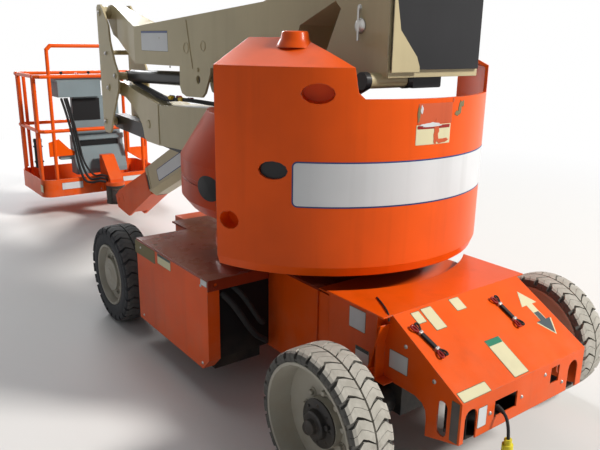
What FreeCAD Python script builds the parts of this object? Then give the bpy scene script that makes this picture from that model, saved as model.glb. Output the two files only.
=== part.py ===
"""Narrow electric articulating boom lift, stowed: chassis, slewing turret, two stacked
riser arms, telescopic main boom and a levelled, rotating work platform.

Millimetres. +X runs forward to the platform, +Y to the machine's left, +Z up, the floor
at z = 0. Lengths called "ahead" are counted forward from the slewing axis.
"""
import FreeCAD, Part
import Sketcher
import math
import os
from FreeCAD import Vector

os.makedirs("parts", exist_ok=True)
doc = FreeCAD.newDocument("boom_lift")

# Driving sizes: name, value, meaning.
SIZES = (
    ("slew_from_middle", 1500, "slewing axis behind the middle of the overall length"),
    ("gap_run", 6, "running gap between pieces that move past each other"),
    ("plate", 8, "thickness of the body plates"),
    ("run_fit", 0.05, "radial clearance of pins and shafts in their bores"),
    ("seat_gap", 0.3, "clearance where pieces sit against each other"),
    # wheels and axles
    ("over_tyres", 1500, "width over the tyres"),
    ("tyre_dia", 568, "outside diameter of all four tyres"),
    ("tyre_wide", 178, "tyre width"),
    ("tyre_round", 14, "bevel of the tread's shoulders"),
    ("rear_axle_back", 880, "rear axle behind the slewing axis"),
    ("front_axle_ahead", 1030, "front axle ahead of the slewing axis"),
    ("rear_rim_dia", 484, "rear rim over its lips"),
    ("front_rim_dia", 356, "front rim over its lips"),
    ("rim_wall", 9, "rim thickness"),
    ("rim_lip", 12, "depth of the rim's lip"),
    ("rear_dish", 95, "depth of the rear wheel's dish"),
    ("front_dish", 40, "depth of the front wheel's dish"),
    ("hub_dia", 190, "drive hub diameter"),
    ("axle_dia", 120, "axle tube diameter"),
    ("beam_long", 110, "fore and aft depth of the front axle beam"),
    ("beam_tall", 100, "height of the front axle beam"),
    ("stub_dia", 90, "diameter of the front wheels' stub axles"),
    ("kingpin_in", 232, "kingpin inside the tyre's outer face"),
    ("kingpin_dia", 36, "kingpin diameter"),
    ("knuckle_tall", 170, "height of the steering knuckle"),
    ("knuckle_wide", 90, "width of the steering knuckle"),
    # chassis
    ("frame_wide", 740, "width of the chassis frame"),
    ("frame_low", 180, "underside of the chassis frame"),
    ("frame_rear", 540, "rear end of the frame's deep part behind the slewing axis"),
    ("nose_wide", 440, "width of the frame between the front wheels"),
    ("nose_ahead", 1230, "front end of the chassis ahead of the slewing axis"),
    ("nose_top", 520, "top of the frame between the front wheels"),
    ("deck_top", 600, "height of the deck over the battery boxes"),
    ("deck_plate", 10, "thickness of the deck plate"),
    ("deck_ahead", 850, "front edge of the deck ahead of the slewing axis"),
    ("deck_nose_wide", 840, "width of the deck's front tongue"),
    ("box_rear", 120, "rear face of the battery boxes behind the slewing axis"),
    ("box_ahead", 655, "front face of the battery boxes ahead of the slewing axis"),
    ("box_out", 720, "outer face of the battery boxes from the middle"),
    ("box_low", 150, "underside of the battery boxes"),
    ("box_cover", 60, "depth of the battery cover's turned edges"),
    ("skid_tall", 40, "height of the skid rails under the boxes"),
    ("hood_back", 1260, "rear face of the rear hood behind the slewing axis"),
    ("hood_low", 280, "lower edge of the rear face"),
    ("hood_edge", 440, "top of the rear face"),
    ("hood_crease", 910, "crease of the hood behind the slewing axis"),
    ("hood_top", 640, "top of the hood"),
    ("hood_front", 470, "front end of the hood behind the slewing axis"),
    ("hood_round", 716, "radius of the hood's concave front edge about the slewing axis"),
    ("hood_over", 4, "side plates of the rear hood outside the chassis frame"),
    ("hood_sheet", 6, "sheet thickness of the rear hood"),
    ("wing_out", 46, "how far the hood's wings and arch lips stand out from its side plates"),
    ("arch_rear", 1106, "rear edge of the wheel arch behind the slewing axis"),
    ("arch_front", 700, "front edge of the wheel arch behind the slewing axis"),
    ("arch_top", 372, "top of the wheel arch"),
    ("tie_hole", 44, "diameter of the tie-down holes"),
    ("tie_plate", 16, "thickness of the tie-down lugs"),
    ("tie_y", 140, "tie-down lugs from the middle"),
    ("tie_z", 330, "height of the tie-down holes"),
    ("lead_dia", 12, "charging lead diameter"),
    ("lead_y", 165, "charging lead left of the middle"),
    ("lead_z", 356, "height where the lead crosses the opening's sill"),
    ("lead_inside", 50, "the lead's gland inside the hood's rear face"),
    ("lead_out", 48, "how far the hanging lead stands off the rear face"),
    ("plug_top", 255, "top of the hanging connector"),
    ("plug_long", 95, "length of the connector"),
    ("plug_dia", 40, "connector diameter"),
    # slewing bearing and turret
    ("ring_dia", 620, "slewing ring diameter"),
    ("ring_tall", 36, "height of the fixed slewing ring"),
    ("table_dia", 1060, "turntable diameter"),
    ("table_top", 680, "top of the turntable plate"),
    ("shroud_dia", 1508, "tail shroud diameter"),
    ("shroud_low", 702, "lower edge of the tail shroud"),
    ("shroud_wall", 14, "wall of the tail shroud"),
    ("shroud_crease", 1520, "height where the shroud's top slopes in"),
    ("shroud_top", 1625, "top of the shroud's shoulders"),
    ("shroud_slope", 210, "how far the shoulders slope in"),
    ("shroud_lip", 46, "turned-in lower edge of the shroud"),
    ("shroud_span", 146, "angle the shroud covers"),
    ("notch_floor", 1407, "floor of the shroud's notch"),
    ("notch_left", 360, "left edge of the notch from the middle"),
    ("notch_right", 420, "right edge of the notch from the middle"),
    ("weight_low", 754, "underside of the counterweight outside its foot"),
    ("weight_ahead", 400, "front face of the counterweight behind the slewing axis"),
    ("weight_top", 1340, "top of the counterweight"),
    ("cowl_in", 66, "side cowls inside the shroud's outer face"),
    ("cowl_low", 860, "lower edge of the side cowls"),
    ("cowl_crease", 1090, "height where the cowls slope in"),
    ("cowl_top", 1295, "top of the side cowls"),
    ("cowl_slope", 130, "how far the cowls slope in at the top"),
    ("cowl_deep", 330, "radial depth of the side cowls"),
    ("cowl_middle", 76, "bearing of the cowls' middle from straight ahead"),
    ("cowl_span", 54, "angle the cowls cover"),
    ("cowl_pin", 14, "cowl hinge pin diameter"),
    ("hinge_arm", 108, "bearing where the hinge brackets meet the shroud"),
    # riser arms
    ("riser_y", 80, "middle plane of the riser arms, left of the machine's middle"),
    ("arm_wide", 220, "width of the riser arms"),
    ("arm_tall", 250, "height of the riser arms"),
    ("fork_wide", 90, "width of the arms' narrow front ends"),
    ("knee_plate", 14, "thickness of the upright's side plates"),
    ("knee_wide", 240, "width over the upright's side plates"),
    ("boss_dia", 90, "diameter of the bosses at the arm pins"),
    ("ear_plate", 14, "thickness of the turntable's ears"),
    ("low_pivot_x", -200, "lower arm's rear pivot ahead of the slewing axis"),
    ("low_pivot_z", 1150, "height of the lower arm's rear pivot"),
    ("knee_low_x", 2320, "lower arm's front pivot"),
    ("knee_low_z", 1260, "height of the lower arm's front pivot"),
    ("knee_top_x", 2420, "upper arm's front pivot"),
    ("knee_top_z", 1795, "height of the upper arm's front pivot"),
    ("tail_pivot_x", -350, "upper arm's rear pivot"),
    ("tail_pivot_z", 1860, "height of the upper arm's rear pivot"),
    ("link_x", 2423, "levelling link's pin on the upright"),
    ("link_z", 1000, "height of the levelling link's pin on the upright"),
    ("link_wide", 80, "width of the levelling link"),
    ("link_tall", 104, "height of the levelling link"),
    ("link_under", 132, "roof of the lower arm's channel under the line of its pivots"),
    ("pin_dia", 50, "diameter of the arm pins"),
    ("eye_dia", 130, "outside diameter of the arm eyes"),
    ("arm_front", 640, "front end of the upper arm's box behind its front pivot"),
    ("weld_back", 840, "front end of the lower arm's box behind its front pivot"),
    ("lug_x", 1070, "riser cylinder's pin on the upper arm"),
    ("lug_z", 1380, "height of the riser cylinder's pin on the upper arm"),
    ("knee_cyl_x", 2180, "riser cylinder's pin on the upright"),
    ("knee_cyl_z", 1350, "height of the riser cylinder's pin on the upright"),
    ("cyl_pin_dia", 40, "diameter of the cylinders' pins"),
    ("riser_cyl_dia", 90, "riser cylinder barrel diameter"),
    ("riser_rod_dia", 50, "riser cylinder rod diameter"),
    # tail upright
    ("tail_left", 207, "outer face of the tail upright's left plate from the middle"),
    ("tail_right", -312, "outer face of the tail upright's right plate"),
    ("tail_web_y", -54, "middle plate of the tail upright"),
    ("tail_back", 650, "rear face of the tail upright behind the slewing axis"),
    ("tail_low", 1480, "lower edge of the tail upright"),
    ("tail_top", 1960, "top of the tail upright"),
    # main boom
    ("boom_y", -160, "middle plane of the main boom"),
    ("boom_pivot_x", -470, "main boom pivot"),
    ("boom_pivot_z", 1800, "height of the main boom pivot"),
    ("boom_slope", 24.9, "slope of the stowed main boom in degrees"),
    ("boom_wide", 190, "width of the base boom"),
    ("boom_tall", 230, "height of the base boom"),
    ("boom_wall", 7, "wall of the base boom"),
    ("boom_long", 3065, "base boom from its pivot to its front end"),
    ("boom_tail", 70, "base boom behind its pivot"),
    ("boom_chamfer", 45, "chamfer along the base boom's lower edges"),
    ("fly_wide", 164, "width of the fly boom"),
    ("fly_tall", 196, "height of the fly boom"),
    ("fly_wall", 6, "wall of the fly boom"),
    ("fly_rear", 420, "rear end of the stowed fly boom ahead of the boom pivot"),
    ("nose_from", 3090, "start of the fly nose ahead of the boom pivot"),
    ("head_along", 3820, "head pivot along the boom"),
    ("head_over", 40, "head pivot over the boom's axis"),
    ("boom_cyl_x", -330, "lift cylinder's pin on the tail upright"),
    ("boom_cyl_z", 1530, "height of the lift cylinder's pin on the tail upright"),
    ("boom_eye_along", 1000, "lift cylinder's pin along the boom"),
    ("boom_eye_under", 195, "lift cylinder's pin under the boom's axis"),
    ("boom_lug_in", 40, "inner faces of the lift cylinder's lugs from the boom's middle"),
    ("boom_cyl_dia", 80, "lift cylinder barrel diameter"),
    ("boom_rod_dia", 45, "lift cylinder rod diameter"),
    # platform
    ("turn_x", 3290, "platform rotator's axis"),
    ("turn_dia", 170, "rotator housing diameter"),
    ("turn_low", 130, "underside of the rotator"),
    ("turn_top", 300, "top of the rotator housing"),
    ("pan_near", 3500, "rear face of the platform"),
    ("pan_deep", 760, "depth of the platform"),
    ("pan_wide", 1180, "width of the platform"),
    ("pan_low", 200, "underside of the platform floor"),
    ("pan_top", 360, "top of the toe boards"),
    ("pan_sheet", 5, "sheet of the platform pan"),
    ("pan_round", 90, "corner radius of the platform pan"),
    ("rail_dia", 34, "rail tube diameter"),
    ("post_dia", 32, "diameter of the upright posts, a little under the rails that they meet"),
    ("rail_bend", 60, "bend radius of the rails' corners"),
    ("rail_corner", 75, "corner posts from the rails' corners"),
    ("post_left", 455, "rear left post from the platform's middle"),
    ("post_right", 385, "rear right post from the platform's middle"),
    ("hoop_right", 235, "right end of the rear middle rail from the platform's middle"),
    ("hoop_low", 560, "lower end of the rear middle rail's turned-down end"),
    ("rail_mid", 800, "height of the middle rails"),
    ("rail_top", 1280, "height of the top rails"),
    ("rail_high", 1545, "height of the raised guard over the console"),
    ("guard_wide", 560, "width of the raised guard"),
    ("console_wide", 420, "width of the control box"),
    ("console_deep", 230, "depth of the control box"),
    ("console_tall", 190, "height of the control box"),
    ("console_left", 185, "middle of the control box left of the boom's middle plane"),
    ("cover_wide", 486, "width of the grey cover"),
    ("cover_left", 22, "middle of the grey cover left of the boom's middle plane"),
)


class Size:
    """A number together with the expression that gives it from the sheet."""

    def __init__(self, value, text):
        self.value, self.text = float(value), text

    def _join(self, other, sign, value):
        other = size(other)
        return Size(value, "(%s %s %s)" % (self.text, sign, other.text))

    def __add__(self, other):
        return self._join(other, "+", self.value + size(other).value)

    def __sub__(self, other):
        return self._join(other, "-", self.value - size(other).value)

    def __mul__(self, other):
        return self._join(other, "*", self.value * size(other).value)

    def __truediv__(self, other):
        return self._join(other, "/", self.value / size(other).value)

    def __radd__(self, other):
        return size(other) + self

    def __rsub__(self, other):
        return size(other) - self

    def __rmul__(self, other):
        return size(other) * self

    def __neg__(self):
        return Size(-self.value, "(0 - %s)" % self.text)


def size(x):
    return x if isinstance(x, Size) else Size(x, repr(float(x)))


def cosd(a):
    return Size(math.cos(math.radians(a.value)), "cos(%s * 1 deg)" % a.text)


def sind(a):
    return Size(math.sin(math.radians(a.value)), "sin(%s * 1 deg)" % a.text)


def root(a):
    return Size(math.sqrt(a.value), "sqrt(%s)" % a.text)


def bearing(rise, run):
    """Angle in degrees of a line that rises by `rise` over `run`."""
    return Size(math.degrees(math.atan2(rise.value, run.value)),
                "(atan2(%s; %s) / 1 deg)" % (rise.text, run.text))


sheet = doc.addObject("Spreadsheet::Sheet", "dims")
D = {}
for row, (alias, value, meaning) in enumerate(SIZES, 1):
    sheet.set("A%d" % row, meaning)
    sheet.set("B%d" % row, str(value))
    sheet.setAlias("B%d" % row, alias)
    D[alias] = Size(value, "dims." + alias)
doc.recompute()


def ahead(distance):
    """X of a point this far ahead of the slewing axis."""
    return size(distance) - D["slew_from_middle"]


def body(name):
    part = doc.addObject("PartDesign::Body", name)
    part.Label = name
    return part


def place(part, x=0, y=0, z=0, axis=None, angle=None):
    """Bind a piece's Placement to the sheet; the turn is about a global axis."""
    if axis is not None:
        part.Placement = FreeCAD.Placement(Vector(), FreeCAD.Rotation(Vector(*axis), 10))
        part.setExpression("Placement.Rotation.Angle", size(angle).text)
    for way, value in zip("xyz", (x, y, z)):
        part.setExpression("Placement.Base." + way, size(value).text)
    return part


def origin_feature(part, role):
    return next(f for f in part.Origin.OriginFeatures if f.Role == role)


def sketch(part, plane, at, outlines=(), circles=()):
    """Closed outlines and circles on an origin plane moved by `at` along its axis."""
    sk = part.newObject("Sketcher::SketchObject", part.Label + "_sketch")
    sk.AttachmentSupport = [(origin_feature(part, plane + "_Plane"), "")]
    sk.MapMode = "FlatFace"
    offset = -size(at) if plane == "XZ" else size(at)
    sk.setExpression("AttachmentOffset.Base.z", offset.text)

    def pin(first_geo, first_end, way, value):
        k = sk.addConstraint(Sketcher.Constraint(way, -1, 1, first_geo, first_end, value.value))
        sk.setExpression("Constraints[%d]" % k, value.text)

    for outline in outlines:
        points = [(size(a), size(b)) for a, b in outline]
        count, base = len(points), sk.GeometryCount
        for i in range(count):
            (a, b), (c, d) = points[i], points[(i + 1) % count]
            sk.addGeometry(Part.LineSegment(Vector(a.value, b.value, 0), Vector(c.value, d.value, 0)), False)
        for i in range(count):
            sk.addConstraint(Sketcher.Constraint("Coincident", base + i, 2, base + (i + 1) % count, 1))
        for i, (a, b) in enumerate(points):
            pin(base + i, 1, "DistanceX", a)
            pin(base + i, 1, "DistanceY", b)
    for a, b, radius in circles:
        a, b, radius = size(a), size(b), size(radius)
        geo = sk.addGeometry(Part.Circle(Vector(a.value, b.value, 0), Vector(0, 0, 1), radius.value), False)
        pin(geo, 3, "DistanceX", a)
        pin(geo, 3, "DistanceY", b)
        k = sk.addConstraint(Sketcher.Constraint("Radius", geo, radius.value))
        sk.setExpression("Constraints[%d]" % k, radius.text)
    return sk


def prism(part, plane, low, high, outlines=(), circles=(), cut=False):
    """Pad or pocket between two distances along the plane's axis."""
    low, high = size(low), size(high)
    sk = sketch(part, plane, (low + high) / 2, outlines, circles)
    kind = "Pocket" if cut else "Pad"
    feature = part.newObject("PartDesign::" + kind, part.Label + "_" + kind.lower())
    feature.Profile = sk
    feature.SideType = "Symmetric"
    feature.setExpression("Length", (high - low).text)
    doc.recompute()
    return feature


def turned(part, plane, axis, outline, angle=360, cut=False):
    """Revolve an outline about an origin axis, half the angle to each side."""
    sk = sketch(part, plane, 0, (outline,))
    kind = "Groove" if cut else "Revolution"
    feature = part.newObject("PartDesign::" + kind, part.Label + "_" + kind.lower())
    feature.Profile = sk
    feature.ReferenceAxis = (origin_feature(part, axis + "_Axis"), [""])
    feature.Midplane = True
    feature.setExpression("Angle", size(angle).text)
    doc.recompute()
    return feature


def fillet(part, base, radius, pick):
    """Round the edges of a feature for which pick(edge) is true."""
    names = ["Edge%d" % (i + 1) for i, e in enumerate(base.Shape.Edges) if pick(e)]
    feature = part.newObject("PartDesign::Fillet", part.Label + "_fillet")
    feature.Base = (base, names)
    feature.setExpression("Radius", size(radius).text)
    doc.recompute()
    return feature


def runs_along(edge, way):
    a, b = edge.Vertexes[0].Point, edge.Vertexes[-1].Point
    d = b - a
    return d.Length > 1e-6 and abs(abs(d.dot(way)) / d.Length - 1) < 1e-6


def rect(x0, x1, y0, y1):
    return ((x0, y0), (x1, y0), (x1, y1), (x0, y1))


def rounded(x0, x1, y0, y1, radius, steps=3):
    """Rectangle whose corners are arcs drawn in short straight steps."""
    points = []
    for cx, cy, start in ((x1 - radius, y1 - radius, 0), (x0 + radius, y1 - radius, 90),
                          (x0 + radius, y0 + radius, 180), (x1 - radius, y0 + radius, 270)):
        for k in range(steps + 1):
            bearing_at = math.radians(start + 90 * k / steps)
            points.append((cx + radius * round(math.cos(bearing_at), 6), cy + radius * round(math.sin(bearing_at), 6)))
    return tuple(points)


def tube(name, start, way, length, diameter):
    """Solid round bar from a start point along X, Y or Z."""
    bar = doc.addObject("Part::Cylinder", name)
    turns = {"X": ((0, 1, 0), 90), "Y": ((1, 0, 0), -90), "Z": ((0, 0, 1), 0)}
    axis, angle = turns[way]
    bar.Placement = FreeCAD.Placement(Vector(), FreeCAD.Rotation(Vector(*axis), angle))
    bar.setExpression("Radius", (size(diameter) / 2).text)
    bar.setExpression("Height", size(length).text)
    for letter, value in zip("xyz", start):
        bar.setExpression("Placement.Base." + letter, size(value).text)
    return bar


def block(name, low, high):
    box = doc.addObject("Part::Box", name)
    for prop, letter, a, b in zip(("Length", "Width", "Height"), "xyz", low, high):
        box.setExpression(prop, (size(b) - size(a)).text)
        box.setExpression("Placement.Base." + letter, size(a).text)
    return box


def joined(name, pieces):
    whole = doc.addObject("Part::MultiFuse", name)
    whole.Label = name
    whole.Shapes = pieces
    return whole


def chained(name, pieces):
    """Fuse one piece after another."""
    whole = pieces[0]
    for i, piece in enumerate(pieces[1:], 1):
        fuse = doc.addObject("Part::Fuse", "%s_%d" % (name, i))
        fuse.Base, fuse.Tool = whole, piece
        whole = fuse
    whole.Label = name
    return whole


nodes = []
SIDES = (("left", 1), ("right", -1))
frame_half = D["frame_wide"] / 2
tyre_rad = D["tyre_dia"] / 2

# Chassis frame: deep box in the middle, narrow nose between the steered wheels.
frame = body("chassis_frame")
prism(frame, "XZ", -frame_half, frame_half,
      (rect(ahead(-D["frame_rear"]), ahead(D["box_ahead"]), D["frame_low"], D["deck_top"] - D["deck_plate"]),))
prism(frame, "XZ", -D["nose_wide"] / 2, D["nose_wide"] / 2,
      (rect(ahead(D["box_ahead"] - 20), ahead(D["nose_ahead"]), D["frame_low"] + 60, D["nose_top"]),))
prism(frame, "XY", D["frame_low"] + D["plate"], D["deck_top"],
      (rect(ahead(-D["frame_rear"] + 40), ahead(D["box_ahead"] - 60),
            -frame_half + D["plate"], frame_half - D["plate"]),), cut=True)
prism(frame, "XZ", -D["nose_wide"] / 2 - 5, D["nose_wide"] / 2 + 5,
      (rect(ahead(D["front_axle_ahead"]) - D["beam_long"] / 2, ahead(D["front_axle_ahead"]) + D["beam_long"] / 2,
            D["frame_low"] + 55, tyre_rad + D["beam_tall"] / 2),), cut=True)
for sign in (1, -1):
    # Flat tie-down lug at the nose.
    nose_x, tie_x, lug_y = ahead(D["nose_ahead"]), ahead(D["nose_ahead"]) + 34, D["tie_y"] * sign
    prism(frame, "XY", D["tie_z"] - D["tie_plate"] / 2, D["tie_z"] + D["tie_plate"] / 2,
          (((nose_x - 6, lug_y - 60), (tie_x + 6, lug_y - 48), (tie_x + 36, lug_y - 24), (tie_x + 36, lug_y + 24),
            (tie_x + 6, lug_y + 48), (nose_x - 6, lug_y + 60)),))
    prism(frame, "XY", D["tie_z"] - D["tie_plate"], D["tie_z"] + D["tie_plate"], circles=((tie_x, lug_y, D["tie_hole"] / 2),), cut=True)
nodes.append(frame)

# Rear hood: folded sheet with a sloped back over the drives and an open front.
hood = body("rear_hood")
hood_half = frame_half + D["hood_over"]
sheet_t = D["hood_sheet"]

outer = ((ahead(-D["hood_back"]), D["hood_low"]),
         (ahead(-D["hood_back"]), D["hood_edge"]),
         (ahead(-D["hood_crease"]), D["hood_top"]),
         (ahead(-D["hood_front"]), D["hood_top"]),
         (ahead(-D["hood_front"]), D["deck_top"]),
         (ahead(-D["frame_rear"]), D["deck_top"]),
         (ahead(-D["frame_rear"]), D["frame_low"]),
         (ahead(-D["hood_crease"]), D["frame_low"]))
prism(hood, "XZ", -hood_half, hood_half, (outer,))
inner = ((ahead(-D["hood_back"] + sheet_t), D["hood_low"] - 200),
         (ahead(-D["hood_back"] + sheet_t), D["hood_edge"] - sheet_t),
         (ahead(-D["hood_crease"]), D["hood_top"] - sheet_t * 1.2),
         (ahead(-D["hood_round"] - 40), D["hood_top"] - sheet_t * 1.2),
         (ahead(-D["hood_round"] - 40), D["deck_top"]),
         (ahead(-D["frame_rear"] - sheet_t), D["deck_top"]),
         (ahead(-D["frame_rear"] - sheet_t), D["hood_low"] - 200))
prism(hood, "XZ", -hood_half + sheet_t, hood_half - sheet_t, (inner,), cut=True)
arch_x0, arch_x1, arch_z = ahead(-D["arch_rear"]), ahead(-D["arch_front"]), D["arch_top"]
# Wings, arch lips and ribs outside the side plates, then the arches and slots through them.
wing_y = hood_half + D["wing_out"]
prism(hood, "XY", D["hood_top"] - sheet_t, D["hood_top"],
      (rect(ahead(-D["hood_crease"]) - 1, ahead(-D["hood_front"]) - 20, -wing_y, wing_y),))
prism(hood, "XY", arch_z, arch_z + sheet_t, (rect(arch_x0 + 176, arch_x1, -wing_y, wing_y),))
for x in (arch_x0 + 225,):
    prism(hood, "YZ", x, x + sheet_t,
          (((-wing_y, arch_z + 1), (wing_y, arch_z + 1), (wing_y, D["hood_top"] - 1), (-wing_y, D["hood_top"] - 1)),))
prism(hood, "XZ", -hood_half + sheet_t, hood_half - sheet_t, (inner,), cut=True)
prism(hood, "XZ", -wing_y - 5, wing_y + 5,
      (((arch_x0, D["frame_low"] - 30), (arch_x1, D["frame_low"] - 30), (arch_x1, arch_z), (arch_x0 + 60, arch_z),
        (arch_x0 + 25, arch_z - 12), (arch_x0 + 6, arch_z - 34), (arch_x0, arch_z - 64)),), cut=True)
for sign in (1, -1):
    low, high = (hood_half - 20, hood_half + 20) if sign > 0 else (-hood_half - 20, -hood_half + 20)
    slot_x = ahead(-D["hood_back"]) + 82
    prism(hood, "XZ", low, high, (rounded(slot_x - 22, slot_x + 22, 275, 412, 21, 3),), cut=True)
# Openings in the rear face: left and right edge, bottom and top, round top or square.
for y0, y1, z0, z1 in ((60, 190, 325, 390), (-205, -150, 345, 415)):
    prism(hood, "YZ", ahead(-D["hood_back"] - 10), ahead(-D["hood_back"] + 30), (rect(y0, y1, z0, z1),), cut=True)
for y0, y1 in ((288, 352), (-335, -271)):
    mid_y, half = (y0 + y1) / 2, (y1 - y0) / 2
    crown = tuple((mid_y + half * round(math.cos(math.radians(a)), 5), 372 + half * round(math.sin(math.radians(a)), 5))
                  for a in range(0, 181, 30))
    prism(hood, "YZ", ahead(-D["hood_back"] - 10), ahead(-D["hood_back"] + 30),
          (((y0, D["hood_low"] - 10), (y1, D["hood_low"] - 10)) + crown,), cut=True)
prism(hood, "XY", D["deck_top"] + sheet_t, D["hood_top"] + 20, circles=((ahead(0), 0, D["hood_round"]),), cut=True)
# Bracket inside the hood with the gland of the charging lead.
face_x = ahead(-D["hood_back"])
gland_x = face_x + D["lead_inside"]
prism(hood, "XZ", D["lead_y"] + 25, D["lead_y"] + 31,
      (rect(face_x + sheet_t / 2, gland_x + 16, D["lead_z"] - 16, D["lead_z"] + 30),))
prism(hood, "YZ", gland_x + 10, gland_x + 16,
      (rect(D["lead_y"] - 20, D["lead_y"] + 31, D["lead_z"] - 16, D["lead_z"] + 30),))
prism(hood, "YZ", gland_x, gland_x + 35, circles=((D["lead_y"], D["lead_z"], D["lead_dia"]),))
nodes.append(hood)

# Deck plate over the battery boxes.
deck = body("deck")
half_out, tongue = D["box_out"], D["deck_nose_wide"] / 2
prism(deck, "XY", D["deck_top"] - D["deck_plate"], D["deck_top"],
      (((ahead(-D["box_rear"]), -half_out), (ahead(D["box_ahead"]), -half_out),
        (ahead(D["box_ahead"]), -tongue), (ahead(D["deck_ahead"]), -tongue),
        (ahead(D["deck_ahead"]), tongue), (ahead(D["box_ahead"]), tongue),
        (ahead(D["box_ahead"]), half_out), (ahead(-D["box_rear"]), half_out),
        (ahead(-D["box_rear"]), frame_half), (ahead(-D["hood_front"]), frame_half),
        (ahead(-D["hood_front"]), -frame_half), (ahead(-D["box_rear"]), -frame_half)),))
for y0, y1 in ((frame_half + 30, half_out), (-half_out, -frame_half - 30)):
    prism(deck, "YZ", ahead(-D["box_rear"]) - 6, ahead(-D["box_rear"]), (rect(y0, y1, D["deck_top"] - 52, D["deck_top"]),))
    prism(deck, "YZ", ahead(-D["box_rear"]) - 20, ahead(-D["box_rear"]) + 10,
          circles=((y1 - 38 if y1.value > 0 else y0 + 38, D["deck_top"] - 26, 9),), cut=True)
prism(deck, "XY", D["deck_top"] - D["deck_plate"] / 2, D["deck_top"] + D["ring_tall"], circles=((ahead(0), 0, D["ring_dia"] / 2),))
nodes.append(deck)

for side, sign in SIDES:
    # Battery cover with turned edges, open to the inside and below the deck.
    cover = body("battery_cover_" + side)
    out, back = D["box_out"] * sign, (D["box_out"] - D["box_cover"]) * sign
    low, high = (back, out) if sign > 0 else (out, back)
    bevel = 60
    prism(cover, "XZ", low, high,
          (((ahead(-D["box_rear"]), D["box_low"] + bevel), (ahead(-D["box_rear"] + bevel), D["box_low"]),
            (ahead(D["box_ahead"]), D["box_low"]), (ahead(D["box_ahead"]), D["deck_top"] - D["deck_plate"]),
            (ahead(-D["box_rear"]), D["deck_top"] - D["deck_plate"])),))
    nodes.append(cover)
    # Battery pack: a plain heavy block behind the cover, on its skid rail.
    pack = body("battery_pack_" + side)
    inner_low, inner_high = (frame_half, D["box_out"] - D["box_cover"])
    if sign < 0:
        inner_low, inner_high = -inner_high, -inner_low
    prism(pack, "XY", D["box_low"] + D["skid_tall"], D["deck_top"] - D["deck_plate"],
          (rect(ahead(-D["box_rear"] + 40), ahead(D["box_ahead"] - 20), inner_low, inner_high),))
    prism(pack, "XY", D["box_low"] - D["skid_tall"] / 2, D["box_low"] + D["skid_tall"] + 1,
          (rect(ahead(-D["box_rear"] + 60), ahead(D["box_ahead"] - 20), inner_low + 40, inner_high - 2),))
    nodes.append(pack)

# Front axle beam with kingpin forks.
kingpin_y = D["over_tyres"] / 2 - D["kingpin_in"]
axle = body("front_axle")
beam_half = D["beam_long"] / 2
axle_x = ahead(D["front_axle_ahead"])
beam_end = kingpin_y - D["knuckle_wide"] * 0.7072 - D["gap_run"]
prism(axle, "YZ", axle_x - beam_half, axle_x + beam_half,
      (rect(-beam_end, beam_end, tyre_rad - D["beam_tall"] / 2, tyre_rad + D["beam_tall"] / 2),))
fork = D["knuckle_tall"] / 2 + D["seat_gap"]
for sign in (1, -1):
    for up in (1, -1):
        a, b = tyre_rad + fork * up, tyre_rad + (fork + 22) * up
        low, high = (a, b) if up > 0 else (b, a)
        y0, y1 = kingpin_y - 90, kingpin_y + 30
        if sign < 0:
            y0, y1 = -y1, -y0
        prism(axle, "XY", low, high,
              (rect(ahead(D["front_axle_ahead"] - 45), ahead(D["front_axle_ahead"] + 45), y0, y1),))
    y0, y1 = kingpin_y - 90, beam_end
    if sign < 0:
        y0, y1 = -y1, -y0
    prism(axle, "XY", tyre_rad - fork - 22, tyre_rad + fork + 22,
          (rect(ahead(D["front_axle_ahead"] - 45), ahead(D["front_axle_ahead"] + 45), y0, y1),))
    prism(axle, "XY", tyre_rad - fork - 30, tyre_rad + fork + 30,
          circles=((axle_x, kingpin_y * sign, D["kingpin_dia"] / 2),))
nodes.append(axle)

# Rear axle with the two drive housings, through the frame's rear.
rear_tube = D["over_tyres"] / 2 - D["rear_dish"] - D["rim_wall"] - D["seat_gap"]
rear_axle = joined("rear_axle", [
    tube("rear_axle_tube", (ahead(-D["rear_axle_back"]), -rear_tube, tyre_rad), "Y", rear_tube * 2, D["axle_dia"]),
    block("rear_axle_block",
          (ahead(-D["rear_axle_back"] - 90), -frame_half + D["plate"], tyre_rad - 40),
          (ahead(-D["frame_rear"]) - sheet_t, frame_half - D["plate"], D["arch_top"] - D["plate"]))])
nodes.append(rear_axle)


def ring_profile(half, outer, inner, bevel):
    """Half section of a tyre: Y across, Z as radius, the worn shoulder outside."""
    return ((-half, inner), (half, inner), (half, outer - bevel), (half - bevel * 0.6, outer), (-half, outer))


for end, x, rim_dia, dish in (("front", D["front_axle_ahead"], D["front_rim_dia"], D["front_dish"]),
                              ("rear", -D["rear_axle_back"], D["rear_rim_dia"], D["rear_dish"])):
    for side, sign in SIDES:
        centre_y = (D["over_tyres"] / 2 - D["tyre_wide"] / 2) * sign
        tyre = body("tyre_%s_%s" % (end, side))
        half, lip = D["tyre_wide"] / 2, rim_dia / 2
        turned(tyre, "YZ", "Y", tuple((size(a) * sign, b) for a, b in ring_profile(half, tyre_rad, lip, D["tyre_round"])))
        place(tyre, ahead(x), centre_y, tyre_rad)
        nodes.append(tyre)
        # Dished rim: barrel, disc and centre hub, drawn for the left side.
        rim = body("rim_%s_%s" % (end, side))
        wall = D["rim_wall"]
        out = [(half - 2, lip), (half - 2, lip - D["rim_lip"]), (half - dish, lip - D["rim_lip"] * 2),
               (half - dish, D["hub_dia"] / 2), (half - dish + 28, D["hub_dia"] / 2),
               (half - dish + 28, 0), (half - dish - wall, 0),
               (half - dish - wall, lip - D["rim_lip"] * 2 - wall * 0.5),
               (-half + 2, lip - D["rim_lip"]), (-half + 2, lip)]
        turned(rim, "YZ", "Y", tuple((size(a) * sign, b) for a, b in out))
        place(rim, ahead(x), centre_y, tyre_rad)
        nodes.append(rim)

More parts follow.
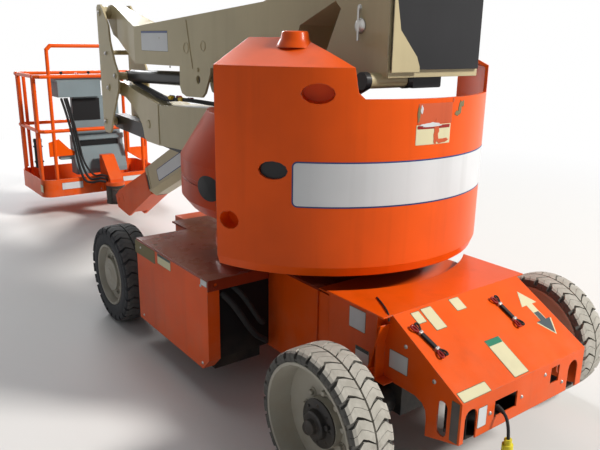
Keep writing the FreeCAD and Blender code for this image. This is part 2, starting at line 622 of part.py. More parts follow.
for side, sign in SIDES:
    # Steering knuckle: upright block on the kingpin with a stub into the wheel.
    knuckle = body("knuckle_" + side)
    y0, y1 = kingpin_y - D["knuckle_wide"] / 2, kingpin_y + D["knuckle_wide"] / 2
    if sign < 0:
        y0, y1 = -y1, -y0
    prism(knuckle, "XY", tyre_rad - D["knuckle_tall"] / 2, tyre_rad + D["knuckle_tall"] / 2,
          (rect(ahead(D["front_axle_ahead"]) - D["knuckle_wide"] / 2,
                ahead(D["front_axle_ahead"]) + D["knuckle_wide"] / 2, y0, y1),))
    s0 = kingpin_y + D["knuckle_wide"] / 2
    s1 = D["over_tyres"] / 2 - D["front_dish"] - D["rim_wall"] - D["seat_gap"]
    if sign < 0:
        s0, s1 = -s1, -s0
    prism(knuckle, "XZ", s0, s1, circles=((axle_x, tyre_rad, D["stub_dia"] / 2),))
    prism(knuckle, "XY", tyre_rad - D["knuckle_tall"], tyre_rad + D["knuckle_tall"],
          circles=((axle_x, kingpin_y * sign, D["kingpin_dia"] / 2 + D["run_fit"]),), cut=True)
    nodes.append(knuckle)

# Turntable with the ears of the lower riser arm.
table = body("turntable")
table_low = D["deck_top"] + D["ring_tall"] + D["seat_gap"]
prism(table, "XY", table_low, D["table_top"], circles=((ahead(0), 0, D["table_dia"] / 2),))
arm_left, arm_right = D["riser_y"] + D["arm_wide"] / 2, D["riser_y"] - D["arm_wide"] / 2
ear_left, ear_right = arm_left + D["seat_gap"], arm_right - D["seat_gap"]
for y0 in (ear_left, ear_right - D["ear_plate"]):
    prism(table, "XZ", y0, y0 + D["ear_plate"],
          (((ahead(D["low_pivot_x"] - 190), D["table_top"] - 5), (ahead(D["low_pivot_x"] + 420), D["table_top"] - 5),
            (ahead(D["low_pivot_x"] + 90), D["low_pivot_z"] + 20), (ahead(D["low_pivot_x"] + 50), D["low_pivot_z"] + 70),
            (ahead(D["low_pivot_x"] - 50), D["low_pivot_z"] + 70), (ahead(D["low_pivot_x"] - 90), D["low_pivot_z"] + 20)),))
prism(table, "XZ", ear_right - D["ear_plate"] - 8, ear_left + D["ear_plate"] + 8,
      circles=((ahead(D["low_pivot_x"]), D["low_pivot_z"], D["pin_dia"] / 2),))
link_run, link_rise = D["link_x"] - D["knee_low_x"], D["link_z"] - D["knee_low_z"]
foot_x, foot_z = ahead(D["low_pivot_x"]) + link_run, D["low_pivot_z"] + link_rise
link_half = D["link_wide"] / 2 + D["seat_gap"]
prism(table, "XZ", ear_right - D["ear_plate"] - 6, ear_left + D["ear_plate"] + 6,
      circles=((foot_x, foot_z, D["cyl_pin_dia"] / 2),))
for y0, y1 in ((D["riser_y"] + link_half, ear_left + 1), (ear_right - 1, D["riser_y"] - link_half)):
    prism(table, "XZ", y0, y1, circles=((foot_x, foot_z, D["cyl_pin_dia"] / 2 + 12),))
nodes.append(table)

# Counterweight: heavy cast block inside the shroud.
weight = body("counterweight")
w_rad = D["shroud_dia"] / 2 - D["shroud_wall"] - D["seat_gap"]
prism(weight, "XY", D["weight_low"], D["weight_top"], circles=((ahead(0), 0, w_rad),))
prism(weight, "XY", D["table_top"], D["weight_top"] + 10,
      (rect(ahead(-D["weight_ahead"]), ahead(w_rad + 10), -w_rad - 10, w_rad + 10),), cut=True)
prism(weight, "XY", D["table_top"], D["weight_low"] + 1,
      (rect(ahead(-D["table_dia"] / 2 + 40), ahead(-D["weight_ahead"]), -200, 200),))
nodes.append(weight)

# Tail shroud: bent and folded shell over the counterweight, with a notch for the tail upright.
shroud = body("tail_shroud")
rad, wall = D["shroud_dia"] / 2, D["shroud_wall"]
section = ((-(rad - D["shroud_lip"]), D["shroud_low"]), (-(rad - D["shroud_lip"] * 0.3), D["shroud_low"] + 8),
           (-rad, D["shroud_low"] + D["shroud_lip"]), (-rad, D["shroud_crease"]),
           (-(rad - D["shroud_slope"]), D["shroud_top"]),
           (-(rad - D["shroud_slope"]), D["shroud_top"] - wall),
           (-(rad - wall), D["shroud_crease"] - wall * 0.6),
           (-(rad - wall), D["shroud_low"] + D["shroud_lip"] + 4),
           (-(rad - D["shroud_lip"]), D["shroud_low"] + wall))
turned(shroud, "XZ", "Z", section, D["shroud_span"])
prism(shroud, "YZ", -(rad + 20), -D["weight_ahead"] + 100,
      (((-D["notch_right"], D["notch_floor"]), (D["notch_left"] - 24, D["notch_floor"]), (D["notch_left"], D["notch_floor"] + 24),
        (D["notch_left"] + 14, D["shroud_crease"]), (D["notch_left"] + 60, D["shroud_top"] + 50),
        (-D["notch_right"] - 60, D["shroud_top"] + 50), (-D["notch_right"], D["shroud_crease"])),), cut=True)


for at, z, share, tall in ((140, 1425, 0.085, 38), (127, 1132, 0.08, 36), (112, 912, 0.064, 38)):
    # Moulded hand holes on the left, seen square to the wall.
    oval = tuple((rad * share * round(math.cos(math.pi * k / 6), 5), z + tall * round(math.sin(math.pi * k / 6), 5)) for k in range(12))
    sk = sketch(shroud, "YZ", 0, (oval,))
    turn = FreeCAD.Rotation(Vector(0, 1, 0), at)
    sk.AttachmentOffset = FreeCAD.Placement(Vector(), turn)
    sk.setExpression("AttachmentOffset.Base.x", (rad * sind(size(at))).text)
    sk.setExpression("AttachmentOffset.Base.z", (rad * cosd(size(at))).text)
    hole = shroud.newObject("PartDesign::Pocket", "hand_hole")
    hole.Profile = sk
    hole.SideType = "Symmetric"
    hole.Length = 160
    doc.recompute()
c_rad = rad - D["cowl_in"]
hinge_at = D["cowl_middle"] + D["cowl_span"] / 2
for sign in (1, -1):
    hx, hy = c_rad * cosd(hinge_at), c_rad * sind(hinge_at) * sign
    edge = D["hinge_arm"]
    ex, ey = (rad - wall / 2) * cosd(edge), (rad - wall / 2) * sind(edge) * sign
    for z in (D["cowl_low"] + 75, D["cowl_crease"] - 45):
        prism(shroud, "XY", z, z + 12,
              (((hx - 12, hy + sign * 8), (hx - 12, hy - sign * 12), (ex - 20, ey - sign * 30), (ex, ey)),))
        prism(shroud, "XY", z, z + 12, circles=((hx, hy, D["cowl_pin"] / 2 + 6),))
    prism(shroud, "XY", D["cowl_low"] + 20, D["cowl_crease"] + 10, circles=((hx, hy, D["cowl_pin"] / 2),))
place(shroud, ahead(0))
nodes.append(shroud)

# Side cowls that swing out on hinge pins at the shroud's front edges.
for side, sign in SIDES:
    cowl = body("cowl_" + side)
    deep = D["cowl_deep"] if sign > 0 else D["cowl_deep"] - 60
    turned(cowl, "XZ", "Z",
           ((c_rad - deep, D["cowl_low"]), (c_rad - 40, D["cowl_low"]), (c_rad, D["cowl_low"] + 50),
            (c_rad, D["cowl_crease"]), (c_rad - D["cowl_slope"], D["cowl_top"]),
            (c_rad - deep, D["cowl_top"])), D["cowl_span"])
    # Shallow panel for a badge, set into the outer face.
    turned(cowl, "XZ", "Z", rect(c_rad - 5, c_rad + 5, D["cowl_low"] + 135, D["cowl_crease"] - 75), 38, cut=True)
    # Drawn about +X and turned to its bearing, so the hinge edge lies at half the span.
    half_span = D["cowl_span"] / 2
    px, py = c_rad * cosd(half_span), c_rad * sind(half_span) * sign
    prism(cowl, "XY", D["cowl_low"] + 20, D["cowl_crease"] + 10, circles=((px, py, D["cowl_pin"] / 2 + 5),))
    prism(cowl, "XY", D["cowl_low"] - 10, D["cowl_top"] + 10,
          circles=((px, py, D["cowl_pin"] / 2 + D["run_fit"]),), cut=True)
    for z in (D["cowl_low"] + 75, D["cowl_crease"] - 45):
        prism(cowl, "XY", z - D["seat_gap"], z + 12 + D["seat_gap"], circles=((px, py, D["cowl_pin"] / 2 + 16),), cut=True)
    place(cowl, ahead(0), axis=(0, 0, 1), angle=D["cowl_middle"] * sign)
    nodes.append(cowl)

# Lower riser arm: box that narrows and rises to its front boss.
half_tall = D["arm_tall"] / 2
mid = D["riser_y"]
fork_half, pin_rad, boss_rad = D["fork_wide"] / 2, D["pin_dia"] / 2, D["boss_dia"] / 2
knee_in = D["knee_wide"] / 2 - D["knee_plate"]
boss_half = knee_in - D["seat_gap"]
low_x, low_z = ahead(D["low_pivot_x"]), D["low_pivot_z"]
knee_x, knee_z = ahead(D["knee_low_x"]), D["knee_low_z"]


def narrowed(arm, start, end, low, high):
    """Cut both sides so that the arm tapers from its full width at start to its narrow end."""
    for sign in (1, -1):
        prism(arm, "XY", low, high,
              (((start, mid + D["arm_wide"] / 2 * sign), (end, mid + fork_half * sign), (end + 400, mid + fork_half * sign),
                (end + 400, mid + (D["arm_wide"] / 2 + 20) * sign), (start, mid + (D["arm_wide"] / 2 + 20) * sign)),),
              cut=True)


def boss(arm, x, z, half):
    prism(arm, "XZ", mid - half, mid + half, circles=((x, z, boss_rad),))


def bore(arm, x, z, radius, half=300):
    prism(arm, "XZ", mid - half, mid + half, circles=((x, z, radius + D["run_fit"]),), cut=True)


weld_x = knee_x - D["weld_back"]
lower = body("lower_arm")
prism(lower, "XZ", arm_right, arm_left,
      (((low_x - 60, low_z - 55), (low_x + 20, low_z - 140), (weld_x - 190, low_z - 205), (weld_x + 20, low_z - 215),
        (weld_x + 280, low_z - 220), (knee_x - 520, knee_z - 310), (knee_x - 505, knee_z - 262), (knee_x - 470, knee_z - 220),
        (knee_x - 390, knee_z - 167), (knee_x - 250, knee_z - 110), (knee_x - 130, knee_z - 65), (knee_x + 20, knee_z - 45),
        (knee_x + 45, knee_z), (knee_x + 20, knee_z + 42), (knee_x - 120, knee_z + 38), (knee_x - 330, knee_z + 2),
        (weld_x, low_z + 55), (weld_x - 30, low_z + 50), (low_x + 950, low_z + 90), (low_x + 200, low_z + 90),
        (low_x, low_z + 62), (low_x - 60, low_z + 35)),))
narrowed(lower, weld_x + 20, knee_x - 190, 900, 1400)
# Thrust pads on the tapered sides.
prism(lower, "XZ", mid - 99, mid + 99, circles=((weld_x + 206, low_z - 96, 28),))
boss(lower, knee_x, knee_z, boss_half)
# Channel in the underside for the levelling link, parallel to the line of the pivots.
channel_half = D["link_wide"] / 2 + D["gap_run"]
prism(lower, "XZ", mid - channel_half, mid + channel_half,
      (((low_x - 80, low_z - D["link_under"] - 4), (knee_x - 5, knee_z - D["link_under"]), (knee_x - 5, knee_z - 500),
        (low_x - 80, low_z - 500)),), cut=True)
bore(lower, low_x, low_z, pin_rad)
bore(lower, knee_x, knee_z, pin_rad)
nodes.append(lower)

# Levelling link, parallel to the line between the lower arm's pivots.
link = body("levelling_link")
link_long = root((knee_x - low_x) * (knee_x - low_x) + (knee_z - low_z) * (knee_z - low_z))
link_w, link_t = D["link_wide"] / 2, D["link_tall"] / 2
prism(link, "YZ", 0, link_long, (rect(-link_w, link_w, -link_t, link_t),))
prism(link, "XZ", -link_w, link_w, circles=((0, 0, link_t), (link_long, 0, link_t)))
prism(link, "XZ", -link_w - 5, link_w + 5,
      circles=((0, 0, D["cyl_pin_dia"] / 2 + D["run_fit"]), (link_long, 0, D["cyl_pin_dia"] / 2 + D["run_fit"])), cut=True)
place(link, foot_x, mid, foot_z, (0, 1, 0), -bearing(knee_z - low_z, knee_x - low_x))
nodes.append(link)

# Mid upright: two boomerang plates with the arms' pins and cross tubes between them.
upright = body("mid_upright")
top_x, top_z = ahead(D["knee_top_x"]), D["knee_top_z"]
link_x, link_z = ahead(D["link_x"]), D["link_z"]
cyl_x, cyl_z = ahead(D["knee_cyl_x"]), D["knee_cyl_z"]
outline = ((link_x - 93, link_z - 65), (link_x - 53, link_z - 85), (link_x + 27, link_z - 85), (link_x + 49, link_z - 55),
           (top_x + 52, top_z + 35), (top_x + 32, top_z + 55), (top_x - 25, top_z + 55), (top_x - 80, top_z + 5),
           (top_x - 158, top_z - 95), (top_x - 172, top_z - 205), (cyl_x + 2, cyl_z + 95), (cyl_x - 62, cyl_z + 12),
           (cyl_x - 48, cyl_z - 90), (link_x - 168, link_z + 80))
for low_y in (mid + knee_in, mid - knee_in - D["knee_plate"]):
    prism(upright, "XZ", low_y, low_y + D["knee_plate"], (outline,))
prism(upright, "XZ", mid - knee_in, mid + knee_in, circles=((top_x + 22, cyl_z + 160, 18),))
for x, z, radius in ((knee_x, knee_z, pin_rad), (top_x, top_z, pin_rad), (cyl_x, cyl_z, D["cyl_pin_dia"] / 2),
                     (link_x, link_z, D["cyl_pin_dia"] / 2)):
    prism(upright, "XZ", mid - knee_in - D["knee_plate"] - 6, mid + knee_in + D["knee_plate"] + 6, circles=((x, z, radius),))
for y0, y1 in ((mid + link_half, mid + knee_in + 1), (mid - knee_in - 1, mid - link_half)):
    prism(upright, "XZ", y0, y1, circles=((link_x, link_z, D["cyl_pin_dia"] / 2 + 12),))
foot_half = D["riser_cyl_dia"] * 0.35 + D["seat_gap"]
for y0, y1 in ((mid + foot_half, mid + knee_in + 1), (mid - knee_in - 1, mid - foot_half)):
    prism(upright, "XZ", y0, y1, circles=((cyl_x, cyl_z, D["cyl_pin_dia"] / 2 + 8),))
nodes.append(upright)

# Upper riser arm: box, narrow front end with its boss, cylinder lugs and rear eye.
upper = body("upper_arm")
tail_x, tail_z = ahead(D["tail_pivot_x"]), D["tail_pivot_z"]
arm_end = top_x - D["arm_front"]
lug_x, lug_z = ahead(D["lug_x"]), D["lug_z"]
prism(upper, "XZ", arm_right, arm_left,
      (((tail_x + 650, tail_z - 360), (lug_x - 310, lug_z + 82), (arm_end + 40, top_z - 345), (top_x - 60, top_z - 155),
        (top_x + 40, top_z - 40), (top_x + 48, top_z), (top_x + 30, top_z + 45), (top_x - 60, top_z + 57),
        (arm_end + 40, top_z - 103), (arm_end, top_z - 103), (tail_x + 590, tail_z - 70), (tail_x + 60, tail_z + 50),
        (tail_x - 40, tail_z + 40), (tail_x - 60, tail_z - 30), (tail_x, tail_z - 70), (tail_x + 290, tail_z - 180),
        (tail_x + 340, tail_z - 280), (tail_x + 410, tail_z - 320)),))
narrowed(upper, arm_end + 40, top_x - 140, 1400, 1900)
boss(upper, top_x, top_z, boss_half)
lug = ((lug_x + 80, lug_z + 95), (lug_x + 85, lug_z - 40), (lug_x + 62, lug_z - 78), (lug_x + 5, lug_z - 95),
       (lug_x - 190, lug_z - 88), (lug_x - 228, lug_z - 62), (lug_x - 292, lug_z + 44), (lug_x - 305, lug_z + 100))
for y0, y1 in ((arm_left - 14, arm_left), (arm_right, arm_right + 14)):
    prism(upper, "XZ", y0, y1, (lug,))
prism(upper, "XZ", arm_right - 5, arm_left + 5, circles=((lug_x - 153, lug_z + 11, 24),), cut=True)
bore(upper, top_x, top_z, pin_rad)
bore(upper, tail_x, tail_z, pin_rad)
nodes.append(upper)


def ram(prefix, foot, eye, barrel_dia, rod_dia, mid_y, eye_half):
    """Cylinder barrel on its foot pin and rod to its eye pin, along the line between them."""
    run, rise = eye[0] - foot[0], eye[1] - foot[1]
    length = root(run * run + rise * rise)
    angle = -bearing(rise, run)
    barrel = body(prefix + "_barrel")
    prism(barrel, "YZ", 45, length - 90, circles=((0, 0, barrel_dia / 2),))
    prism(barrel, "XZ", -barrel_dia * 0.35, barrel_dia * 0.35, circles=((0, 0, 36),))
    prism(barrel, "YZ", 0, 60, (rect(-barrel_dia * 0.35, barrel_dia * 0.35, -30, 30),))
    prism(barrel, "XZ", -barrel_dia, barrel_dia, circles=((0, 0, D["cyl_pin_dia"] / 2 + D["run_fit"]),), cut=True)
    prism(barrel, "YZ", 90, length, circles=((0, 0, rod_dia / 2 + D["run_fit"]),), cut=True)
    place(barrel, foot[0], mid_y, foot[1], (0, 1, 0), angle)
    rod = body(prefix + "_rod")
    prism(rod, "YZ", 100, length - 25, circles=((0, 0, rod_dia / 2),))
    prism(rod, "XZ", -rod_dia * 0.6, rod_dia * 0.6, circles=((length, 0, 34),))
    prism(rod, "XZ", -eye_half, eye_half, circles=((length, 0, D["cyl_pin_dia"] / 2),))
    place(rod, foot[0], mid_y, foot[1], (0, 1, 0), angle)
    nodes.extend((barrel, rod))


ram("riser_cylinder", (ahead(D["knee_cyl_x"]), D["knee_cyl_z"]), (ahead(D["lug_x"]), D["lug_z"]),
    D["riser_cyl_dia"], D["riser_rod_dia"], mid, D["arm_wide"] / 2 - 14 - D["gap_run"])

# Tail upright: three plates joined at the back and the lower rear.
tail = body("tail_upright")
left, right, web = D["tail_left"], D["tail_right"], D["tail_web_y"]
back_x = ahead(-D["tail_back"])
plan = ((back_x, D["tail_low"]), (back_x + 200, D["tail_low"]), (tail_x + 70, D["tail_low"] + 10),
        (tail_x + 80, D["tail_low"] + 90), (tail_x - 10, D["tail_low"] + 260), (tail_x + 80, tail_z - 40),
        (tail_x + 70, D["tail_top"] - 30), (tail_x + 10, D["tail_top"]), (back_x + 90, D["tail_top"]),
        (back_x, D["tail_top"] - 120))
for y0, y1 in ((left - 12, left), (web, web + 12), (right, right + 12)):
    prism(tail, "XZ", y0, y1, (plan,))
prism(tail, "XZ", right, left, (rect(back_x, back_x + 10, D["tail_low"], D["tail_low"] + 60),))
prism(tail, "XZ", right, left, (rect(back_x, back_x + 170, D["tail_low"], D["tail_low"] + 12),))
pivot_x, pivot_z = ahead(D["boom_pivot_x"]), D["boom_pivot_z"]
prism(tail, "XZ", web, left + 8, circles=((tail_x, tail_z, pin_rad),))
prism(tail, "XZ", right - 8, web + 12, circles=((pivot_x, pivot_z, pin_rad),))
for y0, y1, x, z, radius in ((arm_left + D["seat_gap"], left, tail_x, tail_z, boss_rad),
                             (web, arm_right - D["seat_gap"], tail_x, tail_z, boss_rad)):
    prism(tail, "XZ", y0, y1, circles=((x, z, radius),))
lift_x, lift_z = ahead(D["boom_cyl_x"]), D["boom_cyl_z"]
prism(tail, "XZ", right - 8, web + 12, circles=((lift_x, lift_z, D["cyl_pin_dia"] / 2),))
boom_half, foot_half = D["boom_wide"] / 2 + D["seat_gap"], D["boom_cyl_dia"] * 0.35 + D["seat_gap"]
for y0, y1, x, z, radius in ((right + 11, D["boom_y"] - boom_half, pivot_x, pivot_z, boss_rad),
                             (D["boom_y"] + boom_half, web + 1, pivot_x, pivot_z, boss_rad),
                             (right + 11, D["boom_y"] - foot_half, lift_x, lift_z, 30),
                             (D["boom_y"] + foot_half, web + 1, lift_x, lift_z, 30)):
    prism(tail, "XZ", y0, y1, circles=((x, z, radius),))
nodes.append(tail)

# Dark cover closing the upright's back.
tail_cover = body("tail_cover")
prism(tail_cover, "YZ", back_x - 13, back_x - D["seat_gap"],
      (((right + 10, D["tail_low"] + 30), (left - 12, D["tail_low"] + 30), (left - 12, D["tail_top"] - 160),
        (left - 60, D["tail_top"] - 120), (right + 60, D["tail_top"] - 120), (right + 10, D["tail_top"] - 160)),))
nodes.append(tail_cover)

# Main boom: all drawn along local X from the boom pivot, then sloped.
slope = D["boom_slope"]


def on_boom(part):
    return place(part, pivot_x, D["boom_y"], pivot_z, (0, 1, 0), slope)


def boom_section(wide, tall, chamfer, inset=0):
    w, t = wide / 2 - inset, tall / 2 - inset
    return ((-w, t), (w, t), (w, -t + chamfer), (w - chamfer, -t), (-w + chamfer, -t), (-w, -t + chamfer))


base = body("main_boom")
prism(base, "YZ", -D["boom_tail"], D["boom_long"],
      (boom_section(D["boom_wide"], D["boom_tall"], D["boom_chamfer"]),))
prism(base, "YZ", -D["boom_tail"] - 5, D["boom_long"] + 5,
      (boom_section(D["boom_wide"], D["boom_tall"], D["boom_chamfer"], D["boom_wall"]),), cut=True)
for y0 in (D["boom_lug_in"], -D["boom_lug_in"] - 14):
    prism(base, "XZ", y0, y0 + 14,
          (((D["boom_eye_along"] - 120, -D["boom_tall"] / 2 + 3), (D["boom_eye_along"] + 120, -D["boom_tall"] / 2 + 3),
            (D["boom_eye_along"] + 35, -D["boom_eye_under"] - 35), (D["boom_eye_along"] - 35, -D["boom_eye_under"] - 35)),))
pad_half_w, pad_half_t = D["fly_wide"] / 2 + D["seat_gap"], D["fly_tall"] / 2 + D["seat_gap"]
wall_w, wall_t = D["boom_wide"] / 2 - D["boom_wall"], D["boom_tall"] / 2 - D["boom_wall"]
for y0, y1, z0, z1 in ((pad_half_w, wall_w + 1, -30, 60), (-wall_w - 1, -pad_half_w, -30, 60),
                       (-50, 50, pad_half_t, wall_t + 1), (-38, 38, -wall_t - 1, -pad_half_t)):
    prism(base, "YZ", D["boom_long"] - 110, D["boom_long"] - 2, (rect(y0, y1, z0, z1),))
prism(base, "XZ", -200, 200, circles=((0, 0, pin_rad + D["run_fit"]),), cut=True)
on_boom(base)
nodes.append(base)

fly = body("fly_boom")
fly_chamfer = D["boom_chamfer"] - 6
prism(fly, "YZ", D["fly_rear"], D["nose_from"],
      (boom_section(D["fly_wide"], D["fly_tall"], fly_chamfer),))
prism(fly, "YZ", D["fly_rear"] - 5, D["nose_from"] - 20,
      (boom_section(D["fly_wide"], D["fly_tall"], fly_chamfer, D["fly_wall"]),), cut=True)
nose_half = D["fly_wide"] / 2
prism(fly, "XZ", -nose_half, nose_half,
      (((D["nose_from"] - 10, -D["fly_tall"] / 2 + 2), (D["nose_from"] - 10, D["fly_tall"] / 2 - 2),
        (D["head_along"] - 60, D["head_over"] + 70), (D["head_along"] + 50, D["head_over"] + 50),
        (D["head_along"] + 50, D["head_over"] - 60), (D["head_along"] - 160, -150)),))
prism(fly, "XZ", -nose_half + 22, nose_half - 22,
      (rect(D["head_along"] - 260, D["head_along"] + 60, -170, D["head_over"] + 90),), cut=True)
prism(fly, "XZ", -nose_half - 5, nose_half + 5, (rect(D["head_along"] - 133, D["head_along"] - 121, -22, 62),), cut=True)
prism(fly, "XZ", -nose_half - 5, nose_half + 5, circles=((D["head_along"], D["head_over"], D["cyl_pin_dia"] / 2),))
fly_out_w = D["boom_wide"] / 2 - D["boom_wall"] - D["seat_gap"]
fly_out_t = D["boom_tall"] / 2 - D["boom_wall"] - D["seat_gap"]
for y0, y1, z0, z1 in ((nose_half - 1, fly_out_w, -30, 60), (-fly_out_w, -nose_half + 1, -30, 60),
                       (-50, 50, D["fly_tall"] / 2 - 1, fly_out_t), (-38, 38, -fly_out_t, -D["fly_tall"] / 2 + 1)):
    prism(fly, "YZ", D["fly_rear"] + 2, D["fly_rear"] + 110, (rect(y0, y1, z0, z1),))
on_boom(fly)
nodes.append(fly)

# Lift cylinder of the main boom.
along, under = D["boom_eye_along"], -D["boom_eye_under"]
ram("lift_cylinder", (ahead(D["boom_cyl_x"]), D["boom_cyl_z"]),
    (pivot_x + along * cosd(slope) + under * sind(slope), pivot_z - along * sind(slope) + under * cosd(slope)),
    D["boom_cyl_dia"], D["boom_rod_dia"], D["boom_y"], D["boom_lug_in"] - D["gap_run"])

# Levelled head with the platform rotator.
head_x = pivot_x + D["head_along"] * cosd(slope) + D["head_over"] * sind(slope)
head_z = pivot_z - D["head_along"] * sind(slope) + D["head_over"] * cosd(slope)
head = body("head")
head_half = nose_half - 22 - D["seat_gap"]
turn_x = ahead(D["turn_x"])
prism(head, "XZ", D["boom_y"] - head_half, D["boom_y"] + head_half,
      (((head_x - 45, head_z - 30), (head_x + 30, head_z - 45), (turn_x, D["turn_low"] + 20), (turn_x, D["turn_top"] - 20),
        (head_x + 10, head_z + 48), (head_x - 40, head_z + 30)),))
prism(head, "XY", D["turn_low"], D["turn_top"], circles=((turn_x, D["boom_y"], D["turn_dia"] / 2),))
prism(head, "XZ", D["boom_y"] - 100, D["boom_y"] + 100,
      circles=((head_x, head_z, D["cyl_pin_dia"] / 2 + D["run_fit"]),), cut=True)
nodes.append(head)

support = body("platform_support")
prism(support, "XY", D["turn_top"] + D["seat_gap"], D["turn_top"] + 30, circles=((turn_x, D["boom_y"], D["turn_dia"] / 2),))
prism(support, "XZ", D["boom_y"] - 60, D["boom_y"] + 60,
      (((turn_x - 40, D["turn_top"] + 20), (turn_x - 40, D["turn_top"] + 60), (ahead(D["pan_near"]) - 60, D["pan_top"] + 200),
        (ahead(D["pan_near"]), D["pan_top"] + 200), (ahead(D["pan_near"]), D["pan_low"] + 20),
        (ahead(D["pan_near"]) - 60, D["pan_low"] + 20), (ahead(D["pan_near"]) - 60, D["turn_top"] + 10)),))
nodes.append(support)

# Platform pan with toe boards.
pan = body("platform_pan")
x0, x1 = ahead(D["pan_near"]), ahead(D["pan_near"]) + D["pan_deep"]
y0, y1 = D["boom_y"] - D["pan_wide"] / 2, D["boom_y"] + D["pan_wide"] / 2
pad = prism(pan, "XY", D["pan_low"], D["pan_top"], (rect(x0, x1, y0, y1),))
fillet(pan, pad, D["pan_round"], lambda e: runs_along(e, Vector(0, 0, 1)))
t = D["pan_sheet"]
prism(pan, "XY", D["pan_low"] + t, D["pan_top"] + 5,
      (rounded(x0 + t, x1 - t, y0 + t, y1 - t, D["pan_round"] - t),), cut=True)
nodes.append(pan)

# Rails: posts from the toe boards, middle and top rails with mitred bends, raised guard over the console.
r = D["rail_dia"] / 2
rx0, rx1, ry0, ry1 = x0 + r + 6, x1 - r - 6, y0 + r + 6, y1 - r - 6
post_low = D["pan_low"] + t
pieces = []
corner_in = D["rail_corner"]
left_y, right_y, hoop_y = D["boom_y"] + D["post_left"], D["boom_y"] - D["post_right"], D["boom_y"] - D["hoop_right"]
guard_y = left_y - D["guard_wide"]
bend = D["rail_bend"]
# A bend is one slanted tube between two mitres: how far it starts from the corner, and its overlap at each mitre.
cut_in, lap = bend * 0.5858, r * 0.47
POSTS = (("rear_left", rx0, left_y, D["rail_high"] - cut_in + lap), ("rear_right", rx0, right_y, D["rail_top"]),
         ("guard", rx0, guard_y, D["rail_high"] - cut_in + lap), ("front_left", rx1, ry1 - corner_in, D["rail_top"]),
         ("front_right", rx1, ry0 + corner_in, D["rail_top"]),
         ("gate_rear", rx0 + corner_in, ry1, D["rail_top"]), ("gate_front", rx1 - corner_in, ry1, D["rail_top"]),
         ("side", (rx0 + rx1) / 2, ry0, D["rail_top"]))
for name, px, py, top in POSTS:
    foot = D["rail_top"] if name == "guard" else post_low
    pieces.append(tube("post_" + name, (px, py, foot), "Z", top - foot, D["post_dia"]))


def slanted(name, start, axis, angle):
    """Slanted tube of a bend from its first mitre, turned from +Z about the given axis."""
    bar = doc.addObject("Part::Cylinder", name)
    bar.Placement = FreeCAD.Placement(Vector(), FreeCAD.Rotation(Vector(*axis), angle))
    way = bar.Placement.Rotation.multVec(Vector(0, 0, 1))
    bar.setExpression("Radius", r.text)
    bar.setExpression("Height", (cut_in * 1.41421 + lap * 2).text)
    for letter, value, back in zip("xyz", start, way):
        bar.setExpression("Placement.Base." + letter, (value - lap * round(back, 6)).text)
    return bar


def run(name, start, way, length):
    """Straight tube whose ends lap the mitres of the bends beside it."""
    start = [value - (lap if letter == way else 0) for letter, value in zip("XYZ", start)]
    return tube(name, start, way, length + lap * 2, D["rail_dia"])


for z in (D["rail_mid"], D["rail_top"]):
    tag = "mid" if z is D["rail_mid"] else "top"
    if tag == "top":
        pieces.append(run("rear_top", (rx0, ry0 + cut_in, z), "Y", ry1 - ry0 - cut_in * 2))
    else:
        pieces.append(run("rear_mid_left", (rx0, hoop_y + cut_in, z), "Y", ry1 - hoop_y - cut_in * 2))
        pieces.append(slanted("hoop_bend", (rx0, hoop_y, z - cut_in), (1, 0, 0), -45))
        pieces.append(tube("hoop_end", (rx0, hoop_y, D["hoop_low"]), "Z", z - cut_in + lap - D["hoop_low"], D["rail_dia"]))
        pieces.append(run("rear_mid_right", (rx0, ry0 + cut_in, z), "Y", right_y - ry0 - cut_in - lap))
    pieces.append(run("front_" + tag, (rx1, ry0 + cut_in, z), "Y", ry1 - ry0 - cut_in * 2))
    pieces.append(run("side_" + tag, (rx0 + cut_in, ry0, z), "X", rx1 - rx0 - cut_in * 2))
    for name, x in (("rear_" + tag, rx0 + cut_in), ("front_" + tag, rx1 - corner_in)):
        pieces.append(tube("stub_" + name, (x - lap if name[0] == "r" else x, ry1, z), "X", corner_in - cut_in + lap, D["rail_dia"]))
    for name, start, axis in (("rr_" + tag, (rx0 + cut_in, ry0, z), (-1, -1, 0)), ("fr_" + tag, (rx1, ry0 + cut_in, z), (1, -1, 0)),
                              ("fl_" + tag, (rx1 - cut_in, ry1, z), (1, 1, 0)), ("rl_" + tag, (rx0, ry1 - cut_in, z), (-1, 1, 0))):
        pieces.append(slanted("bend_" + name, start, axis, 90))
pieces.append(run("guard_bar", (rx0, guard_y + cut_in, D["rail_high"]), "Y", D["guard_wide"] - cut_in * 2))
pieces.append(slanted("guard_bend_left", (rx0, left_y, D["rail_high"] - cut_in), (1, 0, 0), 45))
pieces.append(slanted("guard_bend_right", (rx0, guard_y, D["rail_high"] - cut_in), (1, 0, 0), -45))
# Gusset plates under the middle rail at the two rear posts.
for name, outline in (("gusset_left", ((left_y + 52, 570), (left_y + 52, 700), (left_y - 40, 726), (left_y - 128, 632),
                                       (left_y - 175, 606), (left_y - 175, 570))),
                      ("gusset_right", ((right_y - 45, 462), (right_y - 45, 600), (hoop_y + 12, 600), (hoop_y + 12, 560),
                                        (right_y + 60, 490), (right_y + 20, 462)))):
    gusset = body(name)
    prism(gusset, "YZ", rx0 - 3, rx0 + 3, (outline,))
    pieces.append(gusset)
rails = chained("platform_rails", pieces)
nodes.append(rails)

